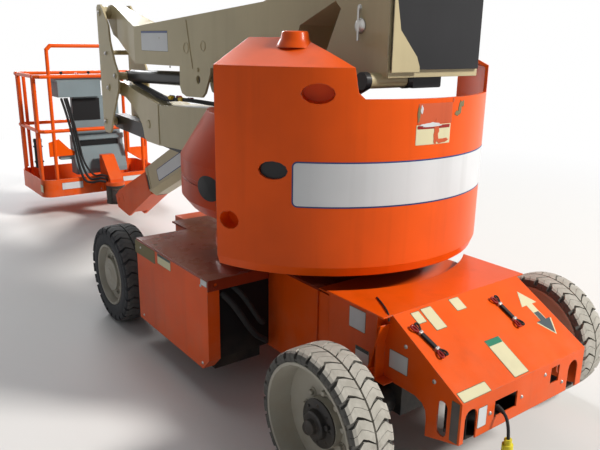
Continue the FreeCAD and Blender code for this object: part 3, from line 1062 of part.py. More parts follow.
# Entry gate on the left side, hinged at its rear post.
gx0, gx1 = rx0 + corner_in + (D["post_dia"] + D["rail_dia"]) / 2 + D["seat_gap"], rx1 - corner_in - D["rail_dia"] - D["gap_run"]
gate_pieces = [tube("gate_bar_%d" % i, (gx0, ry1, z), "X", gx1 - gx0, D["rail_dia"])
               for i, z in enumerate((D["rail_mid"], D["rail_top"]))]
gate_pieces += [tube("gate_post_%d" % i, (gx, ry1, D["pan_top"] + 40), "Z", D["rail_top"] - D["pan_top"] - 40, D["rail_dia"])
                for i, gx in enumerate((gx0, gx1))]
gate = joined("platform_gate", gate_pieces)
nodes.append(gate)

# Control box on the rear rails and the grey cover below it.
console_x = rx0 + r + D["seat_gap"]
console_y, half_c = D["boom_y"] + D["console_left"], D["console_wide"] / 2
console = body("control_box")
console_low, console_top = D["rail_top"] + 5 - D["console_tall"], D["rail_top"] + 5
prism(console, "XZ", console_y - half_c + 14, console_y + half_c - 14,
      (((console_x, console_low), (console_x, console_top - 20), (console_x + D["console_deep"], console_top - 45),
        (console_x + D["console_deep"], console_low + 30), (console_x + D["console_deep"] - 30, console_low)),))
prism(console, "XZ", console_y - half_c, console_y + half_c,
      (((console_x, console_top - 48), (console_x, console_top - 3), (console_x + 10, console_top),
        (console_x + D["console_deep"] + 6, console_top - 30), (console_x + D["console_deep"] + 6, console_top - 66)),))
nodes.append(console)
cover_y, half_v = D["boom_y"] + D["cover_left"], D["cover_wide"] / 2
cover = body("console_cover")
prism(cover, "XZ", cover_y - half_v, cover_y + half_v,
      (((console_x, D["pan_top"] + 20), (console_x, D["pan_top"] + 60), (console_x + 62, 625), (console_x + 78, 630),
        (console_x + 78, 682), (console_x + 52, 692), (console_x + 52, 736), (console_x + 145, 736),
        (console_x + 150, D["pan_top"] + 20)),))
prism(cover, "XZ", cover_y - half_v + 26, cover_y + half_v - 26,
      (((console_x + 70, 730), (console_x + 70, console_low + 1 - D["seat_gap"] - 1), (console_x + 130, console_low - D["seat_gap"]),
        (console_x + 130, 730)),))
nodes.append(cover)

# Charging lead over the opening's sill and its hanging connector.
lead_rad = D["lead_dia"] / 2


def round_cord(points, radius):
    """Round cord along straight runs joined by tangent arcs, each as large as its two runs allow."""
    runs, arcs, start = [], [], points[0]
    for before, at, after in zip(points, points[1:], points[2:]):
        a, b = before - at, after - at
        run_long, turn = min(a.Length, b.Length) * 0.45, math.pi - a.getAngle(b)
        bend_radius = run_long / math.tan(turn / 2)
        a.normalize()
        b.normalize()
        first = at + a * run_long
        centre = at + (a + b).normalize() * (bend_radius / math.cos(turn / 2))
        section = Part.Face(Part.Wire(Part.makeCircle(radius, first, a)))
        arcs.append(section.revolve(centre, b.cross(a), math.degrees(turn)))
        runs.append((start, first))
        start = at + b * run_long
        print("cord radius %.0f mm, turn %.0f degrees" % (bend_radius, math.degrees(turn)))
    runs.append((start, points[-1]))
    whole = None
    for (p, q), arc in zip(runs, arcs + [None]):
        bar = Part.makeCylinder(radius, (q - p).Length, p, q - p)
        whole = bar if whole is None else whole.fuse(bar)
        if arc is not None:
            whole = whole.fuse(arc)
    long = sum((q - p).Length for p, q in runs) + sum(a.Volume for a in arcs) / (math.pi * radius ** 2)
    return whole.removeSplitter(), long


lead_points = [Vector(gland_x.value, D["lead_y"].value, D["lead_z"].value),
               Vector((face_x - D["lead_out"] + 40).value, D["lead_y"].value, D["lead_z"].value + 4),
               Vector((face_x - D["lead_out"]).value, D["lead_y"].value, D["lead_z"].value - 36),
               Vector((face_x - D["lead_out"]).value - 4, D["lead_y"].value, D["plug_top"].value)]
lead = doc.addObject("Part::Feature", "charging_lead")
lead.Label = "charging_lead"
lead.Shape, lead_long = round_cord(lead_points, lead_rad.value)
if len(lead.Shape.Solids) == 1:
    lead.Shape = lead.Shape.Solids[0]
print("lead %.0f mm, volume ratio %.4f" % (lead_long, lead.Shape.Volume / (lead_long * math.pi * lead_rad.value ** 2)))
nodes.append(lead)

plug = body("lead_connector")
plug_x = face_x - D["lead_out"] - 4
prism(plug, "XY", D["plug_top"] - D["plug_long"], D["plug_top"] - 20, circles=((plug_x, D["lead_y"], D["plug_dia"] / 2),))
prism(plug, "XY", D["plug_top"] - 20, D["plug_top"], circles=((plug_x, D["lead_y"], D["plug_dia"] / 2 - 6),))
nodes.append(plug)

doc.recompute()
faults = [o.Name for o in doc.Objects if {"Invalid", "Error"} & set(o.State)]
faults += [n.Label for n in nodes if n.Shape.isNull() or not n.Shape.isValid()]
if faults:
    raise RuntimeError("failed: " + ", ".join(faults))
for node in nodes:
    node.Shape.exportStep("parts/%s.step" % node.Label)
box = Part.makeCompound([n.Shape for n in nodes]).BoundBox
print(len(nodes), "nodes; x %.0f..%.0f y %.0f..%.0f z %.0f..%.0f"
      % (box.XMin, box.XMax, box.YMin, box.YMax, box.ZMin, box.ZMax))
print("solids", {n.Label: len(n.Shape.Solids) for n in nodes if len(n.Shape.Solids) != 1})
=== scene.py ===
# %% [markdown]
# # A stowed articulating boom lift
# The machine is a narrow electric lift: orange chassis and turret, sand-coloured riser
# arms and boom, and an orange work platform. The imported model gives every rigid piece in
# metres, so this lesson only dresses it: paint, dust, tyres, labels, hoses and fasteners.

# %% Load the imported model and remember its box
import math
import bmesh
import bpy
from mathutils import Matrix, Vector


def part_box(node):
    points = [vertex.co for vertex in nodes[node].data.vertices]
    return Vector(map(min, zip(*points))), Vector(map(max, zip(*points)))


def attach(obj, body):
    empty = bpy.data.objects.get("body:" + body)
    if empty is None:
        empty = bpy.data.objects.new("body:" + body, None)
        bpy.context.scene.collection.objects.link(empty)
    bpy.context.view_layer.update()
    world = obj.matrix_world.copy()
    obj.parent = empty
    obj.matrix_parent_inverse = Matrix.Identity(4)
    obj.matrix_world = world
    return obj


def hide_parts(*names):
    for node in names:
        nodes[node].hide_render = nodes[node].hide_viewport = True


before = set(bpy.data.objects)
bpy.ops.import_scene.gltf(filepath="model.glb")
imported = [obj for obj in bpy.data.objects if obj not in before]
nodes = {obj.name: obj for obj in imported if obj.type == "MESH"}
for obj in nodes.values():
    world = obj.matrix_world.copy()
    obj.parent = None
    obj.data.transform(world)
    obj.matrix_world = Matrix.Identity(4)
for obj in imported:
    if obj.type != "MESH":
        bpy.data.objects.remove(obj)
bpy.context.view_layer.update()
scene = bpy.context.scene
scene.view_settings.view_transform = "Standard"

# %% [markdown]
# The camera repeats the photograph's viewpoint: behind the machine's left rear wheel at
# eye height, a little wider than a normal lens. A matrix is the surest way to place it,
# because its three axes can be written down once they are known.

# %% Camera
EYE = Vector((-3.974, 1.969, 1.609))
YAW, PITCH, ROLL = -0.6393, 0.27696, 0.014764
LENS = 36 * 644.92 / 600

ahead = Vector((math.cos(YAW) * math.cos(PITCH), math.sin(YAW) * math.cos(PITCH), -math.sin(PITCH)))
right = Vector((math.sin(YAW), -math.cos(YAW), 0))
up = right.cross(ahead)
right, up = (right * math.cos(ROLL) + up * math.sin(ROLL), up * math.cos(ROLL) - right * math.sin(ROLL))
camera_data = bpy.data.cameras.new("camera")
camera_data.lens = LENS
camera_data.sensor_width = 36
camera = bpy.data.objects.new("camera", camera_data)
axes = Matrix((right, up, -ahead)).transposed().to_4x4()
camera.matrix_world = Matrix.Translation(EYE) @ axes
scene.collection.objects.link(camera)
scene.camera = camera
print("lens", round(LENS, 2))

# %% [markdown]
# The studio is a pale floor that runs out of sight, a white background that only the
# camera and mirrors see, and three soft lamps. The strongest lamp stands to the right of
# the camera, where the sun stood, so the shaded side of the turret stays the near one.

# %% Helpers for shader trees
def tree_of(material):
    material.use_nodes = True
    material.node_tree.nodes.clear()
    return material.node_tree


def add(tree, kind, **settings):
    node = tree.nodes.new(kind)
    for key, value in settings.items():
        if key in node.inputs:
            node.inputs[key].default_value = value
        else:
            setattr(node, key, value)
    return node


def join(tree, source, target):
    tree.links.new(source, target)


# %% Background, floor and lamps
world = bpy.data.worlds.new("studio")
scene.world = world
world.use_nodes = True
wt = world.node_tree
wt.nodes.clear()
path = add(wt, "ShaderNodeLightPath")
seen = add(wt, "ShaderNodeMath", operation="MAXIMUM")
join(wt, path.outputs["Is Camera Ray"], seen.inputs[0])
join(wt, path.outputs["Is Glossy Ray"], seen.inputs[1])
seen2 = add(wt, "ShaderNodeMath", operation="MAXIMUM")
join(wt, seen.outputs[0], seen2.inputs[0])
join(wt, path.outputs["Is Transmission Ray"], seen2.inputs[1])
dim = add(wt, "ShaderNodeBackground")
dim.inputs["Color"].default_value = (0.9, 0.95, 1.0, 1)
dim.inputs["Strength"].default_value = 0.13
white = add(wt, "ShaderNodeBackground")
white.inputs["Color"].default_value = (1.0, 1.0, 1.0, 1)
white.inputs["Strength"].default_value = 1.0
mix = add(wt, "ShaderNodeMixShader")
join(wt, seen2.outputs[0], mix.inputs[0])
join(wt, dim.outputs[0], mix.inputs[1])
join(wt, white.outputs[0], mix.inputs[2])
join(wt, mix.outputs[0], add(wt, "ShaderNodeOutputWorld").inputs[0])

FLOOR_HALF = 30
floor_mesh = bpy.data.meshes.new("floor")
floor_mesh.from_pydata([(-FLOOR_HALF, -FLOOR_HALF, -0.001), (FLOOR_HALF, -FLOOR_HALF, -0.001),
                        (FLOOR_HALF, FLOOR_HALF, -0.001), (-FLOOR_HALF, FLOOR_HALF, -0.001)], [], [(0, 1, 2, 3)])
floor = bpy.data.objects.new("floor", floor_mesh)
scene.collection.objects.link(floor)
floor_paint = bpy.data.materials.new("floor_paint")
ft = tree_of(floor_paint)
fb = add(ft, "ShaderNodeBsdfPrincipled")
fb.inputs["Base Color"].default_value = (0.66, 0.65, 0.64, 1)
fb.inputs["Roughness"].default_value = 0.9
spot = add(ft, "ShaderNodeNewGeometry")
far = add(ft, "ShaderNodeVectorMath", operation="LENGTH")
join(ft, spot.outputs["Position"], far.inputs[0])
fade = add(ft, "ShaderNodeMapRange", clamp=True, interpolation_type="SMOOTHSTEP")
fade.inputs["From Min"].default_value = 2.2
fade.inputs["From Max"].default_value = 7.5
join(ft, far.outputs["Value"], fade.inputs["Value"])
floor_path = add(ft, "ShaderNodeLightPath")
watched = add(ft, "ShaderNodeMath", operation="MAXIMUM")
join(ft, floor_path.outputs["Is Camera Ray"], watched.inputs[0])
join(ft, floor_path.outputs["Is Glossy Ray"], watched.inputs[1])
share = add(ft, "ShaderNodeMath", operation="MULTIPLY")
join(ft, fade.outputs[0], share.inputs[0])
join(ft, watched.outputs[0], share.inputs[1])
glow = add(ft, "ShaderNodeEmission")
floor_mix = add(ft, "ShaderNodeMixShader")
join(ft, share.outputs[0], floor_mix.inputs[0])
join(ft, fb.outputs[0], floor_mix.inputs[1])
join(ft, glow.outputs[0], floor_mix.inputs[2])
join(ft, floor_mix.outputs[0], add(ft, "ShaderNodeOutputMaterial").inputs[0])
floor_mesh.materials.append(floor_paint)


def lamp(name, place, aim, size, power, tint=(1, 1, 1)):
    data = bpy.data.lights.new(name, "AREA")
    data.shape, data.size, data.energy, data.color = "DISK", size, power, tint
    lamp_object = bpy.data.objects.new(name, data)
    lamp_object.location = place
    lamp_object.rotation_euler = (Vector(aim) - Vector(place)).to_track_quat("-Z", "Y").to_euler()
    scene.collection.objects.link(lamp_object)
    return lamp_object


lamp("key", (-12.4, -9.6, 11.4), (-0.3, 0.0, 0.8), 3.6, 4400, (1.0, 0.97, 0.92))
lamp("fill", (-3.0, 7.5, 4.0), (0.0, 0.0, 0.8), 5.0, 28, (0.92, 0.96, 1.0))
lamp("front", (9.0, -2.0, 5.5), (0.6, 0.0, 0.9), 4.0, 700, (0.95, 0.97, 1.0))
lamp("top", (1.5, 0.5, 8.0), (0.3, 0.0, 0.8), 5.0, 130)

# %% [markdown]
# Three effects repeat over many finishes, so each is a node group with named inputs:
# *edge wear* finds sharp edges by comparing the rounded normal with the true one, *dust*
# gathers low down and on upward faces and breaks up with noise, and *streaks* are long
# thin marks that water leaves on upright sheet metal.

# %% Group helper
def group(name, inputs, outputs):
    tree = bpy.data.node_groups.new(name, "ShaderNodeTree")
    for label, kind, value in inputs:
        socket = tree.interface.new_socket(label, in_out="INPUT", socket_type=kind)
        socket.default_value = value
    for label, kind in outputs:
        tree.interface.new_socket(label, in_out="OUTPUT", socket_type=kind)
    return tree, tree.nodes.new("NodeGroupInput"), tree.nodes.new("NodeGroupOutput")


FLOAT, COLOR, VECTOR = "NodeSocketFloat", "NodeSocketColor", "NodeSocketVector"

# %% Edge wear group
wear_tree, gin, gout = group("edge_wear", [("Radius", FLOAT, 0.006), ("Amount", FLOAT, 0.5), ("Scale", FLOAT, 18.0)],
                             [("Mask", FLOAT)])
bevel = add(wear_tree, "ShaderNodeBevel", samples=4)
join(wear_tree, gin.outputs["Radius"], bevel.inputs["Radius"])
true_normal = add(wear_tree, "ShaderNodeNewGeometry")
dot = add(wear_tree, "ShaderNodeVectorMath", operation="DOT_PRODUCT")
join(wear_tree, bevel.outputs[0], dot.inputs[0])
join(wear_tree, true_normal.outputs["Normal"], dot.inputs[1])
edge = add(wear_tree, "ShaderNodeMapRange", clamp=True)
edge.inputs["From Min"].default_value = 0.985
edge.inputs["From Max"].default_value = 0.80
join(wear_tree, dot.outputs["Value"], edge.inputs["Value"])
coords = add(wear_tree, "ShaderNodeTexCoord")
breakup = add(wear_tree, "ShaderNodeTexNoise")
breakup.inputs["Detail"].default_value = 6
join(wear_tree, coords.outputs["Object"], breakup.inputs["Vector"])
join(wear_tree, gin.outputs["Scale"], breakup.inputs["Scale"])
sharp = add(wear_tree, "ShaderNodeMapRange", clamp=True)
sharp.inputs["From Min"].default_value = 0.50
sharp.inputs["From Max"].default_value = 0.62
join(wear_tree, breakup.outputs["Fac"], sharp.inputs["Value"])
both = add(wear_tree, "ShaderNodeMath", operation="MULTIPLY")
join(wear_tree, edge.outputs[0], both.inputs[0])
join(wear_tree, sharp.outputs[0], both.inputs[1])
scaled = add(wear_tree, "ShaderNodeMath", operation="MULTIPLY", use_clamp=True)
join(wear_tree, both.outputs[0], scaled.inputs[0])
join(wear_tree, gin.outputs["Amount"], scaled.inputs[1])
join(wear_tree, scaled.outputs[0], gout.inputs["Mask"])

# %% Dust group
dust_tree, gin, gout = group("dust", [("Low", FLOAT, 0.0), ("High", FLOAT, 0.9), ("Up", FLOAT, 0.35),
                                      ("Scale", FLOAT, 9.0), ("Amount", FLOAT, 0.6)], [("Mask", FLOAT)])
coords = add(dust_tree, "ShaderNodeTexCoord")
apart = add(dust_tree, "ShaderNodeSeparateXYZ")
join(dust_tree, coords.outputs["Object"], apart.inputs[0])
height = add(dust_tree, "ShaderNodeMapRange", clamp=True)
join(dust_tree, apart.outputs["Z"], height.inputs["Value"])
join(dust_tree, gin.outputs["High"], height.inputs["From Min"])
join(dust_tree, gin.outputs["Low"], height.inputs["From Max"])
true_normal = add(dust_tree, "ShaderNodeNewGeometry")
apart2 = add(dust_tree, "ShaderNodeSeparateXYZ")
join(dust_tree, true_normal.outputs["Normal"], apart2.inputs[0])
facing = add(dust_tree, "ShaderNodeMath", operation="MULTIPLY", use_clamp=True)
join(dust_tree, apart2.outputs["Z"], facing.inputs[0])
join(dust_tree, gin.outputs["Up"], facing.inputs[1])
total = add(dust_tree, "ShaderNodeMath", operation="ADD", use_clamp=True)
join(dust_tree, height.outputs[0], total.inputs[0])
join(dust_tree, facing.outputs[0], total.inputs[1])
cloud = add(dust_tree, "ShaderNodeTexNoise")
cloud.inputs["Detail"].default_value = 8
cloud.inputs["Roughness"].default_value = 0.65
join(dust_tree, coords.outputs["Object"], cloud.inputs["Vector"])
join(dust_tree, gin.outputs["Scale"], cloud.inputs["Scale"])
patch = add(dust_tree, "ShaderNodeMapRange", clamp=True)
patch.inputs["From Min"].default_value = 0.32
patch.inputs["From Max"].default_value = 0.72
join(dust_tree, cloud.outputs["Fac"], patch.inputs["Value"])
times = add(dust_tree, "ShaderNodeMath", operation="MULTIPLY")
join(dust_tree, total.outputs[0], times.inputs[0])
join(dust_tree, patch.outputs[0], times.inputs[1])
final = add(dust_tree, "ShaderNodeMath", operation="MULTIPLY", use_clamp=True)
join(dust_tree, times.outputs[0], final.inputs[0])
join(dust_tree, gin.outputs["Amount"], final.inputs[1])
join(dust_tree, final.outputs[0], gout.inputs["Mask"])

# %% Streak group
streak_tree, gin, gout = group("streaks", [("Scale", FLOAT, 14.0), ("Amount", FLOAT, 0.25)], [("Mask", FLOAT)])
coords = add(streak_tree, "ShaderNodeTexCoord")
stretch = add(streak_tree, "ShaderNodeMapping")
stretch.inputs["Scale"].default_value = (1.0, 1.0, 0.06)
join(streak_tree, coords.outputs["Object"], stretch.inputs["Vector"])
lines = add(streak_tree, "ShaderNodeTexNoise")
lines.inputs["Detail"].default_value = 5
join(streak_tree, stretch.outputs[0], lines.inputs["Vector"])
join(streak_tree, gin.outputs["Scale"], lines.inputs["Scale"])
thin = add(streak_tree, "ShaderNodeMapRange", clamp=True)
thin.inputs["From Min"].default_value = 0.54
thin.inputs["From Max"].default_value = 0.74
join(streak_tree, lines.outputs["Fac"], thin.inputs["Value"])
amount = add(streak_tree, "ShaderNodeMath", operation="MULTIPLY", use_clamp=True)
join(streak_tree, thin.outputs[0], amount.inputs[0])
join(streak_tree, gin.outputs["Amount"], amount.inputs[1])
join(streak_tree, amount.outputs[0], gout.inputs["Mask"])
print("groups", [g.name for g in bpy.data.node_groups])

# %% [markdown]
# Machine paint is a gloss coat over steel. Each colour is one material: the base colour
# shifts a little with large soft noise, streaks and dust lie over it, and worn edges show
# primer or bare steel. The rounded normal catches light along folds.

# %% Paint recipe
def blend_over(tree, below, colour, mask):
    mixer = add(tree, "ShaderNodeMix", data_type="RGBA")
    join(tree, mask, mixer.inputs["Factor"])
    join(tree, below, mixer.inputs[6])
    mixer.inputs[7].default_value = (*colour, 1)
    return mixer.outputs[2]


def group_node(tree, name, **values):
    node = tree.nodes.new("ShaderNodeGroup")
    node.node_tree = bpy.data.node_groups[name]
    for key, value in values.items():
        node.inputs[key.replace("_", " ")].default_value = value
    return node


def paint(name, colour, tone=0.82, rough=0.34, coat=0.08, dust=None, wear=None, streak=0.2,
          bare=(0.16, 0.13, 0.11), dust_colour=(0.36, 0.30, 0.22), grain=0.04, round_edge=0.004, gloss=0.14):
    material = bpy.data.materials.new(name)
    tree = tree_of(material)
    shader = add(tree, "ShaderNodeBsdfPrincipled")
    join(tree, shader.outputs[0], add(tree, "ShaderNodeOutputMaterial").inputs[0])
    coords = add(tree, "ShaderNodeTexCoord")
    soft = add(tree, "ShaderNodeTexNoise")
    soft.inputs["Scale"].default_value = 2.2
    soft.inputs["Detail"].default_value = 3
    join(tree, coords.outputs["Object"], soft.inputs["Vector"])
    shade = add(tree, "ShaderNodeMix", data_type="RGBA")
    shade.inputs[6].default_value = (*[c * tone for c in colour], 1)
    shade.inputs[7].default_value = (*colour, 1)
    level = add(tree, "ShaderNodeMapRange", clamp=True)
    level.inputs["From Min"].default_value = 0.35
    level.inputs["From Max"].default_value = 0.65
    join(tree, soft.outputs["Fac"], level.inputs["Value"])
    join(tree, level.outputs[0], shade.inputs["Factor"])
    colour_out = shade.outputs[2]
    rough_out = None
    if streak:
        marks = group_node(tree, "streaks", Amount=streak)
        colour_out = blend_over(tree, colour_out, [c * 0.5 for c in colour], marks.outputs["Mask"])
    if wear:
        worn = group_node(tree, "edge_wear", **wear)
        colour_out = blend_over(tree, colour_out, bare, worn.outputs["Mask"])
    if dust:
        dusty = group_node(tree, "dust", **dust)
        colour_out = blend_over(tree, colour_out, dust_colour, dusty.outputs["Mask"])
        spread = add(tree, "ShaderNodeMapRange", clamp=True)
        spread.inputs["To Min"].default_value = rough
        spread.inputs["To Max"].default_value = 0.92
        join(tree, dusty.outputs["Mask"], spread.inputs["Value"])
        rough_out = spread.outputs[0]
    join(tree, colour_out, shader.inputs["Base Color"])
    if rough_out:
        join(tree, rough_out, shader.inputs["Roughness"])
    else:
        shader.inputs["Roughness"].default_value = rough
    shader.inputs["Specular IOR Level"].default_value = gloss
    shader.inputs["Coat Weight"].default_value = coat
    shader.inputs["Coat Roughness"].default_value = 0.12
    peel = add(tree, "ShaderNodeTexNoise")
    peel.inputs["Scale"].default_value = 160
    peel.inputs["Detail"].default_value = 2
    join(tree, coords.outputs["Object"], peel.inputs["Vector"])
    bump = add(tree, "ShaderNodeBump")
    bump.inputs["Strength"].default_value = grain
    bump.inputs["Distance"].default_value = 0.002
    join(tree, peel.outputs["Fac"], bump.inputs["Height"])
    rounded = add(tree, "ShaderNodeBevel", samples=4)
    rounded.inputs["Radius"].default_value = round_edge
    join(tree, rounded.outputs[0], bump.inputs["Normal"])
    join(tree, bump.outputs[0], shader.inputs["Normal"])
    return material


ORANGE = (0.80, 0.092, 0.001)
BEIGE = (0.47, 0.40, 0.24)
LOW_DUST = dict(Low=0.0, High=0.6, Up=0.10, Scale=9.0, Amount=0.30)
TOP_DUST = dict(Low=0.0, High=0.3, Up=0.20, Scale=6.0, Amount=0.35)
EDGE = dict(Radius=0.005, Amount=0.9, Scale=22.0)

orange = paint("orange_paint", ORANGE, dust=LOW_DUST, wear=EDGE)
dark_orange = paint("cowl_paint", (0.46, 0.040, 0.001), tone=0.7, rough=0.30, coat=0.03, gloss=0.06, wear=EDGE)
deck_red = paint("deck_paint", (0.30, 0.035, 0.012), tone=0.7, rough=0.22, coat=0.5,
                 dust=dict(Low=0.0, High=0.3, Up=0.35, Scale=5.0, Amount=0.5), wear=EDGE)
beige = paint("sand_paint", BEIGE, tone=0.88, rough=0.42, coat=0.25, dust=TOP_DUST, wear=EDGE, streak=0.12)
black_paint = paint("black_paint", (0.016, 0.016, 0.018), tone=0.7, rough=0.45, coat=0.2, dust=LOW_DUST, wear=EDGE,
                    bare=(0.12, 0.09, 0.07))
rim_paint = paint("rim_paint", (0.44, 0.42, 0.36), tone=0.75, rough=0.55, coat=0.1,
                  dust=dict(Low=0.0, High=0.9, Up=0.2, Scale=14.0, Amount=0.6), wear=EDGE, streak=0)
grey_plastic = paint("console_plastic", (0.20, 0.25, 0.27), rough=0.6, coat=0.0, dust=TOP_DUST, streak=0.05, grain=0.12)
black_plastic = paint("black_plastic", (0.012, 0.012, 0.013), rough=0.55, coat=0.0, dust=TOP_DUST, streak=0, grain=0.12)
yellow_rubber = paint("connector_yellow", (0.75, 0.66, 0.03), rough=0.5, coat=0.0, dust=LOW_DUST, streak=0)
print(len(bpy.data.materials), "materials")

# %% [markdown]
# Cylinder rods are ground and chromed, so they get a metal shader of their own with very
# fine rings left by grinding.

# %% Chrome rod and rubber
chrome = bpy.data.materials.new("rod_chrome")
tree = tree_of(chrome)
shader = add(tree, "ShaderNodeBsdfPrincipled")
shader.inputs["Base Color"].default_value = (0.62, 0.62, 0.64, 1)
shader.inputs["Metallic"].default_value = 1.0
join(tree, shader.outputs[0], add(tree, "ShaderNodeOutputMaterial").inputs[0])
coords = add(tree, "ShaderNodeTexCoord")
haze = add(tree, "ShaderNodeTexNoise")
haze.inputs["Scale"].default_value = 30
join(tree, coords.outputs["Object"], haze.inputs["Vector"])
spread = add(tree, "ShaderNodeMapRange")
spread.inputs["To Min"].default_value = 0.10
spread.inputs["To Max"].default_value = 0.30
join(tree, haze.outputs["Fac"], spread.inputs["Value"])
join(tree, spread.outputs[0], shader.inputs["Roughness"])


def rubber(name, colour, dusty_colour, amount, high=2.0, low=-1.0, up=0.0, scale=20.0):
    material = bpy.data.materials.new(name)
    tree = tree_of(material)
    shader = add(tree, "ShaderNodeBsdfPrincipled")
    shader.inputs["Specular IOR Level"].default_value = 0.35
    join(tree, shader.outputs[0], add(tree, "ShaderNodeOutputMaterial").inputs[0])
    dusty = group_node(tree, "dust", Low=low, High=high, Up=up, Scale=scale, Amount=amount)
    base = add(tree, "ShaderNodeMix", data_type="RGBA")
    base.inputs[6].default_value = (*colour, 1)
    base.inputs[7].default_value = (*dusty_colour, 1)
    join(tree, dusty.outputs["Mask"], base.inputs["Factor"])
    join(tree, base.outputs[2], shader.inputs["Base Color"])
    shader.inputs["Roughness"].default_value = 0.85
    coords = add(tree, "ShaderNodeTexCoord")
    grain = add(tree, "ShaderNodeTexNoise")
    grain.inputs["Scale"].default_value = 240
    join(tree, coords.outputs["Object"], grain.inputs["Vector"])
    bump = add(tree, "ShaderNodeBump")
    bump.inputs["Strength"].default_value = 0.15
    bump.inputs["Distance"].default_value = 0.002
    join(tree, grain.outputs["Fac"], bump.inputs["Height"])
    join(tree, bump.outputs[0], shader.inputs["Normal"])
    return material


side_rubber = rubber("side_rubber", (0.075, 0.073, 0.068), (0.20, 0.19, 0.17), 0.6)
front_side_rubber = rubber("front_side_rubber", (0.018, 0.019, 0.022), (0.08, 0.08, 0.08), 0.35)
tread_rubber = rubber("tread_rubber", (0.30, 0.285, 0.25), (0.55, 0.53, 0.48), 1.0)
front_tread_rubber = rubber("front_tread_rubber", (0.05, 0.052, 0.055), (0.20, 0.19, 0.17), 0.7)
cord_rubber = rubber("cord_rubber", (0.012, 0.012, 0.013), (0.06, 0.06, 0.055), 0.4)

# %% [markdown]
# Every carried-over piece gets its finish by name. A short table is easier to check than
# forty assignments.

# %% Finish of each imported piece
FINISH = {
    orange: ("chassis_frame", "rear_hood", "battery_cover_left", "battery_cover_right", "tail_shroud", "turntable",
             "fly_boom", "platform_pan", "platform_rails", "platform_gate", "platform_support"),
    dark_orange: ("cowl_left", "cowl_right"),
    deck_red: ("deck",),
    beige: ("lower_arm", "mid_upright", "upper_arm", "tail_upright", "main_boom"),
    # The counterweight's black paint is painted shade: it keeps what shows of it through the shroud's openings dark.
    black_paint: ("riser_cylinder_barrel", "lift_cylinder_barrel", "head", "rear_axle", "front_axle", "knuckle_left",
                  "knuckle_right", "counterweight", "tail_cover", "levelling_link"),
    rim_paint: ("rim_front_left", "rim_front_right", "rim_rear_left", "rim_rear_right"),
    grey_plastic: ("control_box", "console_cover"),
    black_plastic: ("battery_pack_left", "battery_pack_right"),
    chrome: ("riser_cylinder_rod", "lift_cylinder_rod"),
    cord_rubber: ("charging_lead",),
    yellow_rubber: ("lead_connector",),
    side_rubber: ("tyre_front_left", "tyre_front_right", "tyre_rear_left", "tyre_rear_right"),
}
for material, names in FINISH.items():
    for name in names:
        mesh = nodes[name].data
        mesh.materials.clear()
        mesh.materials.append(material)
bare_nodes = sorted(set(nodes) - {n for names in FINISH.values() for n in names})
print("nodes without a finish:", bare_nodes)

# %% [markdown]
# The tyres are solid rubber with two columns of chunky blocks, half a pitch apart, and a
# chevron slit in each block. The solid model has a plain tyre, so the detailed one
# replaces it. One function lays out a block on the tyre's profile: it walks across the
# crown, over the shoulder and down the side, between two zigzag edges.

# %% Tyre builder
TYRE_RADIUS, TYRE_HALF = 0.284, 0.089


def spun(profile, steps):
    """Revolve (across, radius) points about the wheel's axle."""
    verts, faces = [], []
    for i in range(steps):
        a = 2 * math.pi * i / steps
        for across, radius in profile:
            verts.append((radius * math.cos(a), across, radius * math.sin(a)))
    n = len(profile)
    for i in range(steps):
        for k in range(n - 1):
            a, b = i * n + k, ((i + 1) % steps) * n + k
            faces.append((a, a + 1, b + 1, b))
    return verts, faces


def tread_block(path, inner, edge_low, edge_high, verts, faces):
    """One block between two angles that vary along the path of (across, radius) points."""
    base, n = len(verts), len(path)
    for (across, radius), (in_across, in_radius), low, high in zip(path, inner, edge_low, edge_high):
        for angle in (low, high):
            verts.append((radius * math.cos(angle), across, radius * math.sin(angle)))
            verts.append((in_radius * math.cos(angle), in_across, in_radius * math.sin(angle)))
    for k in range(n - 1):
        a, b = base + 4 * k, base + 4 * (k + 1)
        faces += [(a, a + 2, b + 2, b), (a, b, b + 1, a + 1), (a + 2, a + 3, b + 3, b + 2)]
    for k in (0, n - 1):
        a = base + 4 * k
        faces.append((a, a + 1, a + 3, a + 2) if k == 0 else (a, a + 2, a + 3, a + 1))


